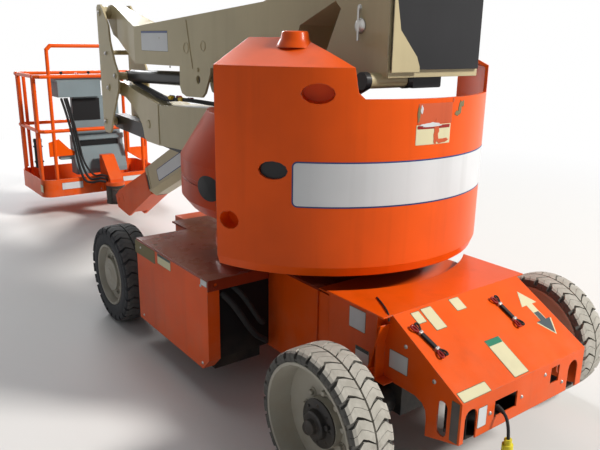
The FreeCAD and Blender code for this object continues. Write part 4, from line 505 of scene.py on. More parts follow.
def tyre(name, node, body, rim_radius, side_material, tread_material, pitches=24):
    low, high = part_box(node)
    centre = (low + high) / 2
    R, H = TYRE_RADIUS, TYRE_HALF
    floor_r = R - 0.014
    bead = rim_radius
    side = [(-H + 0.010, bead), (-H + 0.002, bead + 0.010), (-H + 0.003, (bead + floor_r) / 2), (-H + 0.008, floor_r - 0.016),
            (-H + 0.020, floor_r - 0.002), (-0.03, floor_r + 0.001), (0.03, floor_r + 0.001), (H - 0.020, floor_r - 0.002),
            (H - 0.008, floor_r - 0.016), (H - 0.003, (bead + floor_r) / 2), (H - 0.002, bead + 0.010), (H - 0.010, bead)]
    verts, faces = spun(side, 96)
    tread_start = len(faces)
    pitch = 2 * math.pi / pitches
    for way in (1, -1):
        path = [(0.004 * way, R), (0.030 * way, R - 0.0005), (0.052 * way, R - 0.0015), (0.072 * way, R - 0.004),
                (0.083 * way, R - 0.010), (0.0885 * way, R - 0.020), (0.0880 * way, R - 0.032)]
        inner = [(a * 0.96, min(r - 0.010, floor_r - 0.004) if i < 4 else r - 0.012) for i, (a, r) in enumerate(path)]
        zigzag = (0.16, -0.08, -0.20, 0.00, 0.05, 0.05, 0.05)
        for i in range(pitches):
            start = pitch * (i + (0.5 if way < 0 else 0.0))
            gap = (0.08, 0.11, 0.16, 0.24, 0.26, 0.26, 0.26)
            lows = [start + pitch * (z + g / 2) for z, g in zip(zigzag, gap)]
            highs = [start + pitch * (1 + z - g / 2) for z, g in zip(zigzag, gap)]
            slit = 0.012
            mids = [a + (b - a) * 0.5 for a, b in zip(lows, highs)]
            tread_block(path, inner, lows, [m - pitch * slit for m in mids], verts, faces)
            tread_block(path, inner, [m + pitch * slit for m in mids], highs, verts, faces)
    mesh = bpy.data.meshes.new(name)
    mesh.from_pydata(verts, [], faces)
    work = bmesh.new()
    work.from_mesh(mesh)
    bmesh.ops.recalc_face_normals(work, faces=work.faces)
    work.to_mesh(mesh)
    work.free()
    mesh.materials.append(side_material)
    mesh.materials.append(tread_material)
    for i, polygon in enumerate(mesh.polygons):
        polygon.use_smooth = i < tread_start
        c = polygon.center
        if i >= tread_start and math.hypot(c.x, c.z) > R - 0.012:
            polygon.material_index = 1
    mesh.transform(Matrix.Translation(centre))
    whole = bpy.data.objects.new(name, mesh)
    scene.collection.objects.link(whole)
    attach(whole, body)
    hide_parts(node)
    return whole


for end, rim_radius, wall, tread in (("rear", 0.242, side_rubber, tread_rubber), ("front", 0.178, front_side_rubber, front_tread_rubber)):
    for side in ("left", "right"):
        made = tyre("tread_%s_%s" % (end, side), "tyre_%s_%s" % (end, side), "wheel_%s_%s" % (end, side),
                    rim_radius, wall, tread)
        print(made.name, len(made.data.polygons), "faces")

# %% [markdown]
# The charging lead hangs out of the opening in the rear face. Its route is the same few
# points as in the solid model, carried by a smooth curve with real thickness.

# %% Charging lead
LEAD_DIAMETER = 0.012
HOOD_FACE = -2.76
route = [(HOOD_FACE + 0.050, 0.165, 0.356), (HOOD_FACE - 0.008, 0.165, 0.360), (HOOD_FACE - 0.048, 0.165, 0.320),
         (HOOD_FACE - 0.052, 0.165, 0.255)]
curve = bpy.data.curves.new("charging_cable", "CURVE")
curve.dimensions = "3D"
curve.bevel_depth = LEAD_DIAMETER / 2
curve.bevel_resolution = 4
spline = curve.splines.new("NURBS")
spline.points.add(len(route) - 1)
for point, place in zip(spline.points, route):
    point.co = (*place, 1)
spline.order_u = 3
spline.use_endpoint_u = True
spline.resolution_u = 16
curve.materials.append(cord_rubber)
cable = bpy.data.objects.new("charging_cable", curve)
scene.collection.objects.link(cable)
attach(cable, "chassis")
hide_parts("charging_lead")

# Ribbed strain relief where the lead leaves the gland, along the lead's own line.
bare_curve = curve.copy()
bare_curve.bevel_depth = 0
bare = bpy.data.objects.new("bare_route", bare_curve)
line = [v.co.copy() for v in bpy.data.meshes.new_from_object(bare).vertices]
bpy.data.objects.remove(bare)
walked, stations = 0.0, []
for before, after in zip(line, line[1:]):
    walked += (after - before).length
    if 0.042 <= walked <= 0.078:
        stations.append((after, (after - before).normalized()))
verts, faces = [], []
for index, (centre, way) in enumerate(stations):
    side = way.cross(Vector((0, 1, 0))).normalized()
    thick = 0.0112 - 0.0040 * index / (len(stations) - 1) - (0.0012 if index % 2 else 0.0)
    verts += [centre + (side * math.cos(t) + Vector((0, 1, 0)) * math.sin(t)) * thick for t in (math.pi * k / 10 for k in range(20))]
for row in range(len(stations) - 1):
    faces += [(20 * row + k, 20 * row + (k + 1) % 20, 20 * row + 20 + (k + 1) % 20, 20 * row + 20 + k) for k in range(20)]
faces += [tuple(range(20)), tuple(range(20 * len(stations) - 1, 20 * len(stations) - 21, -1))]
relief_mesh = bpy.data.meshes.new("lead_relief")
relief_mesh.from_pydata(verts, [], faces)
relief_mesh.materials.append(black_plastic)
relief = bpy.data.objects.new("lead_relief", relief_mesh)
scene.collection.objects.link(relief)
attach(relief, "chassis")
print("relief stations", len(stations))

# %% [markdown]
# Small parts are many and alike, so each kind is one function that adds its faces to a
# shared pair of lists, and a table says where they go. A *face frame* has its first axis to
# the viewer's right, its second up along the sheet and its third out of it, so that a
# label or a bolt is drawn flat once and then stands on any side of the machine.

# %% Helpers for small parts
BACK_X, SLEW_X = -2.76, -1.5
SLOPE = Vector((0.8682, 0, 0.4961))
SLOPE_OUT = Vector((-0.4961, 0, 0.8682))


def facing(place, out, up=(0, 0, 1)):
    out, up = Vector(out).normalized(), Vector(up)
    across = up.cross(out).normalized()
    return Matrix.Translation(place) @ Matrix((across, out.cross(across), out)).transposed().to_4x4()


def on_slope(along, y):
    """Frame on the hood's sloped back, this far up from its lower edge."""
    return facing(Vector((BACK_X, y, 0.440)) + SLOPE * along, SLOPE_OUT, SLOPE)


def on_shroud(bearing, z, stand_off=0.0, radius=0.754):
    out = Vector((math.cos(math.radians(bearing)), math.sin(math.radians(bearing)), 0))
    return facing(Vector((SLEW_X, 0, z)) + out * (radius + stand_off), out)


def oblong(wide, tall, corner=0.003, steps=3):
    points = []
    for cx, cy, start in ((wide / 2 - corner, tall / 2 - corner, 0), (corner - wide / 2, tall / 2 - corner, 90),
                          (corner - wide / 2, corner - tall / 2, 180), (wide / 2 - corner, corner - tall / 2, 270)):
        for k in range(steps + 1):
            turn = math.radians(start + 90 * k / steps)
            points.append((cx + corner * math.cos(turn), cy + corner * math.sin(turn)))
    return points


def ring(radius, steps=24, first=0.0):
    return [(radius * math.cos(first + 2 * math.pi * k / steps), radius * math.sin(first + 2 * math.pi * k / steps))
            for k in range(steps)]


def slab(lists, where, outline, low, high, bevel=0.0004):
    """Flat outline pushed out of a face, with a narrow bevel round its top."""
    verts, faces = lists[:2]
    base, n = len(verts), len(outline)
    cx, cy = sum(a for a, b in outline) / n, sum(b for a, b in outline) / n
    reach = max(math.hypot(a - cx, b - cy) for a, b in outline)
    for level, shrink in ((low, 0), (high - bevel, 0), (high, bevel / reach)):
        verts += [where @ Vector((a + (cx - a) * shrink, b + (cy - b) * shrink, level)) for a, b in outline]
    for row in (base, base + n):
        faces += [(row + i, row + (i + 1) % n, row + n + (i + 1) % n, row + n + i) for i in range(n)]
    faces += [tuple(range(base + 2 * n, base + 3 * n)), tuple(range(base + n - 1, base - 1, -1))]


def bolt(lists, where, size, washer=1.25, tall=0.7):
    slab(lists, where, ring(size * washer, 20), -0.001, size * 0.16)
    slab(lists, where, ring(size, 6, 0.3), size * 0.15, size * tall, size * 0.12)


def lathe(lists, where, profile, steps=32):
    """Turn (radius, height) points about the frame's outward axis."""
    verts, faces = lists
    base, n = len(verts), len(profile)
    for k in range(steps):
        a = 2 * math.pi * k / steps
        verts += [where @ Vector((r * math.cos(a), r * math.sin(a), h)) for r, h in profile]
    for k in range(steps):
        a, b = base + k * n, base + (k + 1) % steps * n
        faces += [(a + i, b + i, b + i + 1, a + i + 1) for i in range(n - 1)]
    faces += [tuple(base + k * n + i for k in (range(steps) if i else range(steps - 1, -1, -1))) for i in (0, n - 1)]


def eased(points, rounds=2, closed=False):
    """Cut the corners of a line of points again and again, which bends it smoothly."""
    points = [Vector(p) for p in points]
    for _ in range(rounds):
        cut = [] if closed else [points[0]]
        pairs = list(zip(points, points[1:] + points[:1])) if closed else list(zip(points, points[1:]))
        for a, b in pairs:
            cut += [a.lerp(b, 0.25), a.lerp(b, 0.75)]
        points = cut if closed else cut + [points[-1]]
    return points


def wire(lists, points, radius, closed=False, steps=10):
    """Round bar or hose along a line of points."""
    verts, faces = lists
    base, n = len(verts), len(points)
    side = None
    for i, point in enumerate(points):
        before = points[i - 1] if i or closed else point
        after = points[(i + 1) % n] if i < n - 1 or closed else point
        way = (after - before).normalized()
        if side is None:
            side = way.orthogonal()
        side = (side - way * side.dot(way)).normalized()
        other = way.cross(side)
        verts += [point + (side * math.cos(t) + other * math.sin(t)) * radius
                  for t in (2 * math.pi * k / steps for k in range(steps))]
    for i in range(n if closed else n - 1):
        a, b = base + i * steps, base + (i + 1) % n * steps
        faces += [(a + k, a + (k + 1) % steps, b + (k + 1) % steps, b + k) for k in range(steps)]
    if not closed:
        faces += [tuple(range(base, base + steps)), tuple(range(base + n * steps - 1, base + (n - 1) * steps - 1, -1))]


def keep(name, body, slot, lists, *materials, smooth=0.6, choose=None):
    """Make the piece from its lists and let it ride on its body."""
    mesh = bpy.data.meshes.new(name)
    mesh.from_pydata(lists[0], [], lists[1])
    work = bmesh.new()
    work.from_mesh(mesh)
    bmesh.ops.recalc_face_normals(work, faces=work.faces)
    work.to_mesh(mesh)
    work.free()
    for material in materials:
        mesh.materials.append(material)
    for polygon in mesh.polygons:
        polygon.use_smooth = True
        if choose:
            polygon.material_index = choose(polygon)
    mesh.set_sharp_from_angle(angle=smooth)
    piece = bpy.data.objects.new(name, mesh)
    scene.collection.objects.link(piece)
    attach(piece, body)
    return piece


# %% Plain finishes of the small parts
label_cream = paint("label_cream", (0.66, 0.62, 0.40), tone=0.9, rough=0.5, coat=0.2, streak=0.15, dust=TOP_DUST, grain=0.0)
label_white = paint("label_white", (0.62, 0.64, 0.66), tone=0.9, rough=0.45, coat=0.3, streak=0.15, dust=TOP_DUST, grain=0.0)
label_blue = paint("label_blue", (0.010, 0.035, 0.16), rough=0.4, coat=0.4, streak=0, grain=0.0)
label_green = paint("label_green", (0.02, 0.19, 0.11), rough=0.5, coat=0.2, streak=0.1, grain=0.0)
label_slate = paint("label_slate", (0.055, 0.075, 0.085), rough=0.5, coat=0.2, streak=0.1, grain=0.0)
label_edge = paint("label_edge", (0.20, 0.17, 0.09), rough=0.6, coat=0.0, streak=0, grain=0.0)
scuffed = paint("scuffed_strip", (0.22, 0.19, 0.18), tone=0.4, rough=0.6, coat=0.1, streak=0.8, grain=0.1)
bright_steel = paint("bright_steel", (0.45, 0.44, 0.42), rough=0.35, coat=0.0, dust=TOP_DUST, streak=0.1)
bright_steel.node_tree.nodes["Principled BSDF"].inputs["Metallic"].default_value = 0.85
pull_red = paint("pull_red", (0.30, 0.015, 0.012), rough=0.45, coat=0.2, streak=0)
signal_yellow = paint("signal_yellow", (0.80, 0.52, 0.02), rough=0.5, coat=0.1, streak=0)
faded = paint("faded_patch", (0.62, 0.115, 0.045), tone=0.7, rough=0.55, coat=0.0, streak=0.3)
print(len(bpy.data.materials), "materials")

# %% [markdown]
# The labels of the real machine carry words, so here they are blank plates of the same
# size, colour and place. Each stands less than a millimetre proud, with a darker rim, so
# it reads as a printed sticker and not as a patch of paint.

# %% Labels on flat sheets
LEFT, REAR = (0, 1, 0), (-1, 0, 0)
# name, body, frame, wide, tall, material, band colour, band height
LABELS = (
    ("hood_side_front", "chassis", facing((-2.219, 0.374, 0.553), LEFT), 0.098, 0.090, label_white, None, 0),
    ("hood_side_low", "chassis", facing((-2.255, 0.374, 0.405), LEFT), 0.082, 0.074, label_white, label_slate, 0.014),
    ("hood_side_rear", "chassis", facing((-2.455, 0.374, 0.466), LEFT), 0.098, 0.076, label_white, None, 0),
    ("slope_upper_a", "chassis", on_slope(0.360, 0.273), 0.046, 0.056, label_cream, None, 0),
    ("slope_upper_b", "chassis", on_slope(0.338, 0.211), 0.060, 0.108, label_cream, None, 0),
    ("slope_upper_c", "chassis", on_slope(0.363, 0.050), 0.058, 0.062, label_cream, None, 0),
    ("slope_long", "chassis", on_slope(0.093, 0.034), 0.086, 0.172, label_cream, label_green, 0.026),
    ("slope_low", "chassis", on_slope(0.022, 0.290), 0.150, 0.042, label_cream, None, 0),
    ("face_small", "chassis", facing((BACK_X, 0.258, 0.352), REAR), 0.050, 0.082, label_white, None, 0),
    ("side_strip", "chassis", facing((-2.734, 0.374, 0.358), LEFT), 0.036, 0.156, scuffed, None, 0),
    ("cover_strip", "chassis", facing((-0.950, 0.720, 0.553), LEFT), 0.250, 0.070, label_edge, None, 0),
    ("cover_small", "chassis", facing((-1.180, 0.720, 0.560), LEFT), 0.150, 0.055, label_cream, label_slate, 0.012),
    ("cover_tag", "chassis", facing((-1.588, 0.720, 0.580), LEFT), 0.060, 0.030, label_white, None, 0),
    ("upper_arm_plate", "upper_arm", facing((0.000, 0.190, 1.600), LEFT), 0.400, 0.125, label_white, label_blue, 0.012),
    ("pan_left", "platform", facing((2.000, 0.169, 0.293), REAR), 0.195, 0.065, label_white, None, 0),
    ("pan_right", "platform", facing((2.000, -0.410, 0.300), REAR), 0.185, 0.050, label_white, None, 0),
    ("pan_corner", "platform", facing((2.060, 0.430, 0.280), LEFT), 0.080, 0.070, label_cream, None, 0),
)
sheets = {}


def sheet_list(body, material):
    return sheets.setdefault((body, material.name), ([], [], material))


for name, body, where, wide, tall, material, band, band_tall in LABELS:
    slab(sheet_list(body, label_edge), where, oblong(wide, tall), -0.0005, 0.0005)
    slab(sheet_list(body, material), where, oblong(wide - 0.004, tall - 0.004), 0.0004, 0.0009)
    if band:
        top = where @ Matrix.Translation((0, tall / 2 - 0.002 - band_tall / 2, 0))
        slab(sheet_list(body, band), top, oblong(wide - 0.006, band_tall), 0.0008, 0.0012)

# Plate along the boom's left side.
boom_way = Vector((math.cos(math.radians(24.9)), 0, -math.sin(math.radians(24.9))))
boom_up = Vector((math.sin(math.radians(24.9)), 0, math.cos(math.radians(24.9))))
where = facing((0.380, -0.065, 0.708), LEFT, boom_up)
slab(sheet_list("main_boom", label_blue), where, oblong(0.520, 0.095, 0.012), -0.0005, 0.0005)
slab(sheet_list("main_boom", label_white), where, oblong(0.508, 0.083, 0.010), 0.0004, 0.0009)

# Two-headed arrow on the slope: forward half pale, rear half dark.
SHAFT, HEAD, HEAD_LONG, REACH = 0.019, 0.050, 0.075, 0.118
double = [(0, REACH), (HEAD, REACH - HEAD_LONG), (SHAFT, REACH - HEAD_LONG), (SHAFT, HEAD_LONG - REACH),
          (HEAD, HEAD_LONG - REACH), (0, -REACH), (-HEAD, HEAD_LONG - REACH), (-SHAFT, HEAD_LONG - REACH),
          (-SHAFT, REACH - HEAD_LONG), (-HEAD, REACH - HEAD_LONG)]
where = on_slope(0.212, -0.296)
slab(sheet_list("chassis", label_cream), where, double, -0.0005, 0.0008, 0.0003)
half = [(a * 0.86, b * 0.93) for a, b in double if b < 0]
half = [(SHAFT * 0.8, 0.002)] + half + [(-SHAFT * 0.8, 0.002)]
slab(sheet_list("chassis", label_slate), where, half, 0.0007, 0.0011, 0.0003)
for (body, colour), lists in sheets.items():
    made = keep("%s_%s" % (colour, body), body, "orange", lists[:2], lists[2])
    print(made.name, len(made.data.polygons), "faces")

# %% [markdown]
# The turret's long plate wraps round a cylinder. It is laid out in columns, and each
# column is as tall as a rounded rectangle is there, so the corners stay round.

# %% Wrapped plate on the tail shroud
def wrapped(lists, radius, low_bearing, high_bearing, low_z, high_z, corner, thick):
    verts, faces = lists
    long = math.radians(high_bearing - low_bearing) * radius
    stops = [corner * (1 - math.cos(math.pi * k / 12)) for k in range(7)]
    columns = stops + [corner + (long - 2 * corner) * k / 60 for k in range(1, 60)] + [long - s for s in reversed(stops)]
    for along in columns:
        inside = min(along, long - along)
        drop = corner - math.sqrt(max(0.0, corner ** 2 - (corner - inside) ** 2)) if inside < corner else 0.0
        bearing = math.radians(low_bearing) + along / radius
        for r in (radius - 0.001, radius + thick):
            for z in (low_z + drop, high_z - drop):
                verts.append((SLEW_X + r * math.cos(bearing), r * math.sin(bearing), z))
    for i in range(len(columns) - 1):
        a, b = 4 * i, 4 * i + 4
        faces += [(a + 2, b + 2, b + 3, a + 3), (a, a + 1, b + 1, b), (a, b, b + 2, a + 2), (a + 1, a + 3, b + 3, b + 1)]
    end = 4 * (len(columns) - 1)
    faces += [(0, 2, 3, 1), (end, end + 1, end + 3, end + 2)]


for name, inset, corner, thick, material in (("shroud_plate_rim", 0.0, 0.022, 0.0006, label_blue),
                                             ("shroud_plate", 0.006, 0.016, 0.0010, label_white)):
    turn = math.degrees(inset / 0.754)
    lists = ([], [])
    wrapped(lists, 0.754, 132.8 + turn, 217.6 - turn, 0.992 + inset, 1.172 - inset, corner, thick)
    keep(name, "turret", "orange", lists, material)

# %% [markdown]
# Where stickers were torn off, scraps of paper and bare patches stay behind. Each is a thin
# scrap with a jagged outline, drawn with a seeded random generator so that every run gives
# the same scraps.

# %% Scraps and chips
import random
chance = random.Random(7)
# bearing, height, half width, half height, material
SCRAPS = ((170.6, 1.345, 0.006, 0.030, label_edge), (188.4, 1.364, 0.011, 0.026, label_edge), (187.0, 1.342, 0.016, 0.011, label_edge),
          (189.8, 1.380, 0.009, 0.012, label_edge), (171.6, 1.366, 0.006, 0.016, label_white), (175.4, 1.306, 0.052, 0.008, label_white),
          (177.6, 1.278, 0.014, 0.045, faded), (180.4, 1.240, 0.034, 0.010, faded), (184.6, 1.396, 0.006, 0.008, faded))
for name, low_bearing, high_bearing, low_z, high_z, thick, material in (
        ("faded_patch", 170.3, 184.3, 1.308, 1.388, 0.0004, faded), ("torn_label", 169.9, 183.9, 1.228, 1.306, 0.0005, label_cream),
        ("torn_label_band", 170.3, 183.5, 1.290, 1.303, 0.0007, pull_red)):
    lists = ([], [])
    wrapped(lists, 0.754, low_bearing, high_bearing, low_z, high_z, 0.003, thick)
    keep(name, "turret", "orange", lists, material)
for index, (bearing, z, wide, tall, material) in enumerate(SCRAPS):
    outline = [(wide * math.cos(t) * s, tall * math.sin(t) * s) for t, s in
               ((2 * math.pi * k / 22, 1.25 - 0.5 * chance.random()) for k in range(22))]
    lists = ([], [])
    slab(lists, on_shroud(bearing, z), outline, -0.004, 0.0011, 0.0002)
    keep("scrap_%d" % index, "turret", "orange", lists, material)

# %% [markdown]
# The shroud's hand holes are moulded cups with a dark bottom, and a round boss stands on
# its left shoulder.

# %% Cups and boss of the shroud
def cup(lists, bearing, z, wide, tall, depth=0.055, steps=24):
    verts, faces = lists
    where, base = on_shroud(bearing, z, -0.005), len(verts)
    for level, grow in ((-0.012, 1.03), (-depth, 0.93), (-depth - 0.004, 1.12), (-0.014, 1.16)):
        verts += [where @ Vector((wide * grow * math.cos(t), tall * grow * math.sin(t), level))
                  for t in (2 * math.pi * k / steps for k in range(steps))]
    for row in range(3):
        a, b = base + row * steps, base + (row + 1) * steps
        if row != 1:
            faces += [(a + k, a + (k + 1) % steps, b + (k + 1) % steps, b + k) for k in range(steps)]
    faces += [tuple(range(base + steps, base + 2 * steps)), tuple(range(base + 3 * steps - 1, base + 2 * steps - 1, -1))]


lists = ([], [])
for bearing, z, wide, tall in ((140, 1.425, 0.064, 0.038), (127, 1.132, 0.060, 0.036), (112, 0.912, 0.048, 0.038)):
    cup(lists, bearing, z, wide, tall)
keep("shroud_cups", "turret", "orange", lists, orange)
around = math.radians(129.6)
boss_at = facing((SLEW_X + 0.565 * math.cos(around), 0.565 * math.sin(around), 1.606), (0, 0, 1), (1, 0, 0))
lists = ([], [])
lathe(lists, boss_at, [(0.078, -0.020), (0.066, 0.000), (0.057, 0.012), (0.053, 0.036), (0.050, 0.041), (0.044, 0.043), (0.0, 0.043)], 40)
keep("shroud_boss", "turret", "orange", lists, orange, smooth=1.0)

# %% [markdown]
# Two rubber pull latches hold the hood down. Each has a strap between two bright collars
# and a pair of open loops at both ends.

# %% Hood latches
for tag, along, y, lean in (("left", 0.256, 0.313, 0.18), ("right", 0.258, -0.146, 0.08)):
    where = on_slope(along, y) @ Matrix.Rotation(lean, 4, "Z") @ Matrix.Scale(0.78, 4)
    strap, steel, red = ([], []), ([], []), ([], [])
    slab(strap, where, oblong(0.020, 0.092, 0.006), 0.002, 0.014, 0.003)
    for end in (-1, 1):
        slab(steel, where @ Matrix.Translation((0, 0.052 * end, 0)), oblong(0.024, 0.016, 0.004), 0.0, 0.017, 0.002)
        bolt(steel, where @ Matrix.Translation((0, 0.052 * end, 0.016)), 0.005)
        for side, lists in ((-1, red), (1, strap)):
            loop = [Vector((0.004 * side, 0.058 * end, 0.008)), Vector((0.004 * side, 0.075 * end, 0.010)),
                    Vector((0.006 * side, 0.098 * end, 0.012)), Vector((0.020 * side, 0.104 * end, 0.012)),
                    Vector((0.026 * side, 0.090 * end, 0.011)), Vector((0.018 * side, 0.070 * end, 0.009))]
            wire(lists, [where @ p for p in eased(loop, 2, True)], 0.0042, True, 8)
    keep("latch_strap_" + tag, "chassis", "black_steel", strap, black_plastic)
    keep("latch_collars_" + tag, "chassis", "rod_chrome", steel, bright_steel)
    keep("latch_pulls_" + tag, "chassis", "orange", red, pull_red)

# Bent strip that stiffens the hood's left side, and black sheets behind its rear openings that paint the shade inside
# them.
strip = ([], [])
slab(strip, facing((-2.372, 0.399, 0.505), (-0.961, 0, -0.278), (-0.278, 0, 0.961)), oblong(0.050, 0.205, 0.004), -0.0025, 0.0025, 0.001)
keep("hood_strip", "chassis", "orange", strip, orange)
# Painted shade: black sheets set inside the hood so that its rear openings read dark.
opening_shade_sheets = ([], [])
slab(opening_shade_sheets, facing((-2.655, 0, 0.345), REAR), oblong(0.66, 0.170, 0.004), -0.002, 0.002, 0.001)
slab(opening_shade_sheets, facing((-2.7045, 0, 0.285), (0, 0, 1), (1, 0, 0)), oblong(0.66, 0.095, 0.004), -0.002, 0.002, 0.001)
slab(opening_shade_sheets, facing((-2.705, 0.333, 0.355), LEFT), oblong(0.095, 0.145, 0.004), -0.002, 0.002, 0.001)
keep("hood_liner", "chassis", "black_steel", opening_shade_sheets, black_plastic)

# Thin lashing strap over the hood's crease.
lists = ([], [])
wire(lists, eased([(-2.255, 0.307, 0.6425), (-2.33, 0.342, 0.6435), (-2.402, 0.384, 0.643), (-2.412, 0.392, 0.620)]), 0.0035)
keep("hood_tether", "chassis", "black_steel", lists, black_plastic)

# %% [markdown]
# Bolts are a washer and a six-sided head. Their table gives body, place, direction and size.

# %% Bolts and pins
RIGHT, FRONT, TOP = (0, -1, 0), (1, 0, 0), (0, 0, 1)
BOLTS = [("chassis", p, LEFT, 0.007) for p in ((-2.488, 0.374, 0.543), (-2.632, 0.374, 0.468), (-2.20, 0.374, 0.25))]
BOLTS += [("chassis", (BACK_X, y, z), REAR, 0.006) for y, z in ((0.214, 0.351), (0.030, 0.354), (-0.110, 0.400), (-0.235, 0.330))]
for x, z in ((-0.22, 1.45), (-0.08, 1.62)):
    BOLTS.append(("upper_arm", (x, 0.190, z), LEFT, 0.006))
for x, z in ((0.828, 1.506), (0.676, 1.352), (0.822, 1.260), (0.923, 1.000), (0.920, 1.795)):
    for y, out in ((0.201, LEFT), (-0.041, RIGHT)):
        BOLTS.append(("mid_upright", (x, y + (0.006 if y > 0 else -0.006), z), out, 0.012))
BOLTS += [("platform", (2.0, y, z), REAR, 0.006) for y, z in ((-0.10, 0.33), (-0.22, 0.33), (-0.10, 0.23), (-0.22, 0.23))]
BOLTS += [("chassis", (x, side * 0.720, 0.180 + 0.38 * up), (0, side, 0), 0.006)
          for x in (-1.56, -0.90) for side in (1, -1) for up in (0, 1)]
BOLTS += [("chassis", tuple(Vector((SLEW_X, 0, 0.636)) + Vector((math.cos(a), math.sin(a), 0)) * 0.29), TOP, 0.008)
          for a in (math.radians(15 * k) for k in range(24))]
heads = {}
for body, place, out, size in BOLTS:
    up_way = (1, 0, 0) if abs(out[2]) > 0.9 else (0, 0, 1)
    bolt(heads.setdefault(body, ([], [])), facing(place, out, up_way), size)
for body, lists in heads.items():
    print(keep("bolts_" + body, body, "rod_chrome", lists, bright_steel).name)

# %% [markdown]
# Each wheel is held by nine nuts round its hub. The rear hubs are black planetary drives
# with a round cover, a raised cap and a filler plug, the front hubs are small grey caps.

# %% Hubs and wheel nuts
WHEEL_Y, WHEEL_Z = 0.661, 0.284
for end, x, disc, nut_ring, nuts in (("rear", -2.38, 0.655, 0.1125, 9), ("front", -0.47, 0.710, 0.0875 + 0.025, 9)):
    for side, sign in (("left", 1), ("right", -1)):
        body = "wheel_%s_%s" % (end, side)
        seat = facing((x, disc * sign, WHEEL_Z), (0, sign, 0))
        steel, dark = ([], []), ([], [])
        for k in range(nuts):
            a = 2 * math.pi * k / nuts + 0.2
            nut = seat @ Matrix.Translation((nut_ring * math.cos(a), nut_ring * math.sin(a), 0))
            lathe(steel, nut, [(0.017, -0.001), (0.017, 0.003), (0.015, 0.004), (0.0, 0.004)], 16)
            slab(steel, nut, ring(0.0115, 6), 0.003, 0.017, 0.002)
        keep("nuts_%s_%s" % (end, side), body, "rim_paint", steel, rim_paint)
        hub = facing((x, (disc + 0.028) * sign, WHEEL_Z), (0, sign, 0))
        if end == "rear":
            lathe(dark, hub, [(0.092, -0.020), (0.092, 0.006), (0.086, 0.010), (0.058, 0.012), (0.054, 0.030), (0.048, 0.035),
                              (0.030, 0.036), (0.027, 0.050), (0.022, 0.053), (0.0, 0.053)], 40)
            slab(dark, hub @ Matrix.Translation((0.064, 0.020, 0)), ring(0.012, 6), 0.008, 0.024, 0.002)
            lathe(dark, hub @ Matrix.Translation((-0.052, -0.044, 0)), [(0.026, 0.006), (0.026, 0.018), (0.020, 0.024), (0.0, 0.025)], 20)
            for k in range(8):
                a = math.pi * k / 4
                bolt(dark, hub @ Matrix.Translation((0.072 * math.cos(a), 0.072 * math.sin(a), 0.010)), 0.006)
        else:
            lathe(dark, hub, [(0.070, -0.022), (0.070, -0.002), (0.062, 0.002), (0.040, 0.006), (0.036, 0.010), (0.0, 0.011)], 32)
        keep("hub_%s_%s" % (end, side), body, "black_steel" if end == "rear" else "rim_paint", dark,
             black_paint if end == "rear" else rim_paint)

# %% [markdown]
# Hoses run along the arms in clamped bundles. They are fixed at both ends and lie against
# the steel, so they are plain swept tubes that ride on the arm that carries them.

# %% Hose runs
# name, body, radius, points
HOSES = (
    ("lower_arm_hose_a", "lower_arm", 0.010, ((-1.55, 0.12, 1.250), (-0.90, 0.14, 1.256), (-0.20, 0.15, 1.256), (-0.03, 0.13, 1.222),
                                              (0.30, 0.11, 1.262), (0.60, 0.09, 1.305))),
    ("lower_arm_hose_b", "lower_arm", 0.010, ((-1.55, 0.095, 1.250), (-0.90, 0.115, 1.256), (-0.20, 0.125, 1.256), (-0.03, 0.105, 1.222),
                                              (0.30, 0.085, 1.262), (0.60, 0.075, 1.305))),
    ("lower_arm_hose_c", "lower_arm", 0.008, ((-1.55, 0.070, 1.249), (-0.90, 0.092, 1.254), (-0.20, 0.100, 1.254), (-0.03, 0.082, 1.220),
                                              (0.30, 0.060, 1.260), (0.60, 0.060, 1.305))),
    ("platform_hose_a", "platform", 0.011, ((2.03, 0.20, 1.09), (2.01, 0.165, 0.93), (2.005, 0.130, 0.74), (1.995, 0.105, 0.50),
                                            (1.97, 0.070, 0.33), (1.90, 0.020, 0.315), (1.84, -0.020, 0.345), (1.80, -0.075, 0.335))),
    ("platform_hose_b", "platform", 0.011, ((2.03, 0.17, 1.09), (2.01, 0.140, 0.93), (2.005, 0.105, 0.74), (1.990, 0.080, 0.50),
                                            (1.95, 0.030, 0.34), (1.88, -0.020, 0.355), (1.83, -0.060, 0.375), (1.81, -0.120, 0.335))),
    ("platform_hose_c", "platform", 0.009, ((2.03, 0.15, 1.09), (2.00, 0.118, 0.90), (1.995, 0.085, 0.70), (1.980, 0.060, 0.50),
                                            (1.92, -0.010, 0.37), (1.86, -0.060, 0.395), (1.80, -0.100, 0.380), (1.78, -0.150, 0.335))),
    ("bay_hose_a", "chassis", 0.014, ((-1.60, 0.64, 0.52), (-1.645, 0.60, 0.47), (-1.65, 0.50, 0.30), (-1.64, 0.43, 0.25), (-1.60, 0.40, 0.22))),
    ("bay_hose_b", "chassis", 0.012, ((-1.60, 0.58, 0.54), (-1.65, 0.55, 0.50), (-1.66, 0.47, 0.36), (-1.64, 0.44, 0.34), (-1.60, 0.42, 0.33))),
    ("bay_hose_c", "chassis", 0.012, ((-1.60, -0.64, 0.52), (-1.645, -0.60, 0.47), (-1.65, -0.50, 0.30), (-1.64, -0.43, 0.25), (-1.60, -0.40, 0.22))),
)
runs = {}
for name, body, radius, points in HOSES:
    wire(runs.setdefault(body, ([], [])), eased(points, 3), radius, steps=12)
for body, lists in runs.items():
    print(keep("hoses_" + body, body, "cord_rubber", lists, cord_rubber).name)

# Coloured sleeves mark three of the hoses where they cross the lower arm.
for index, (y, x, material) in enumerate(((0.152, -0.16, signal_yellow), (0.127, -0.12, label_blue), (0.102, -0.17, pull_red),
                                          (0.152, -0.30, signal_yellow), (0.102, -0.33, pull_red))):
    lists = ([], [])
    wire(lists, [Vector((x, y, 1.2555)), Vector((x + 0.045, y, 1.2545))], 0.0125, steps=14)
    keep("hose_sleeve_%d" % index, "lower_arm", "cord_rubber", lists, material)

# %% [markdown]
# The left cowl carries a dark oval field with nothing on it, moulded into its groove.

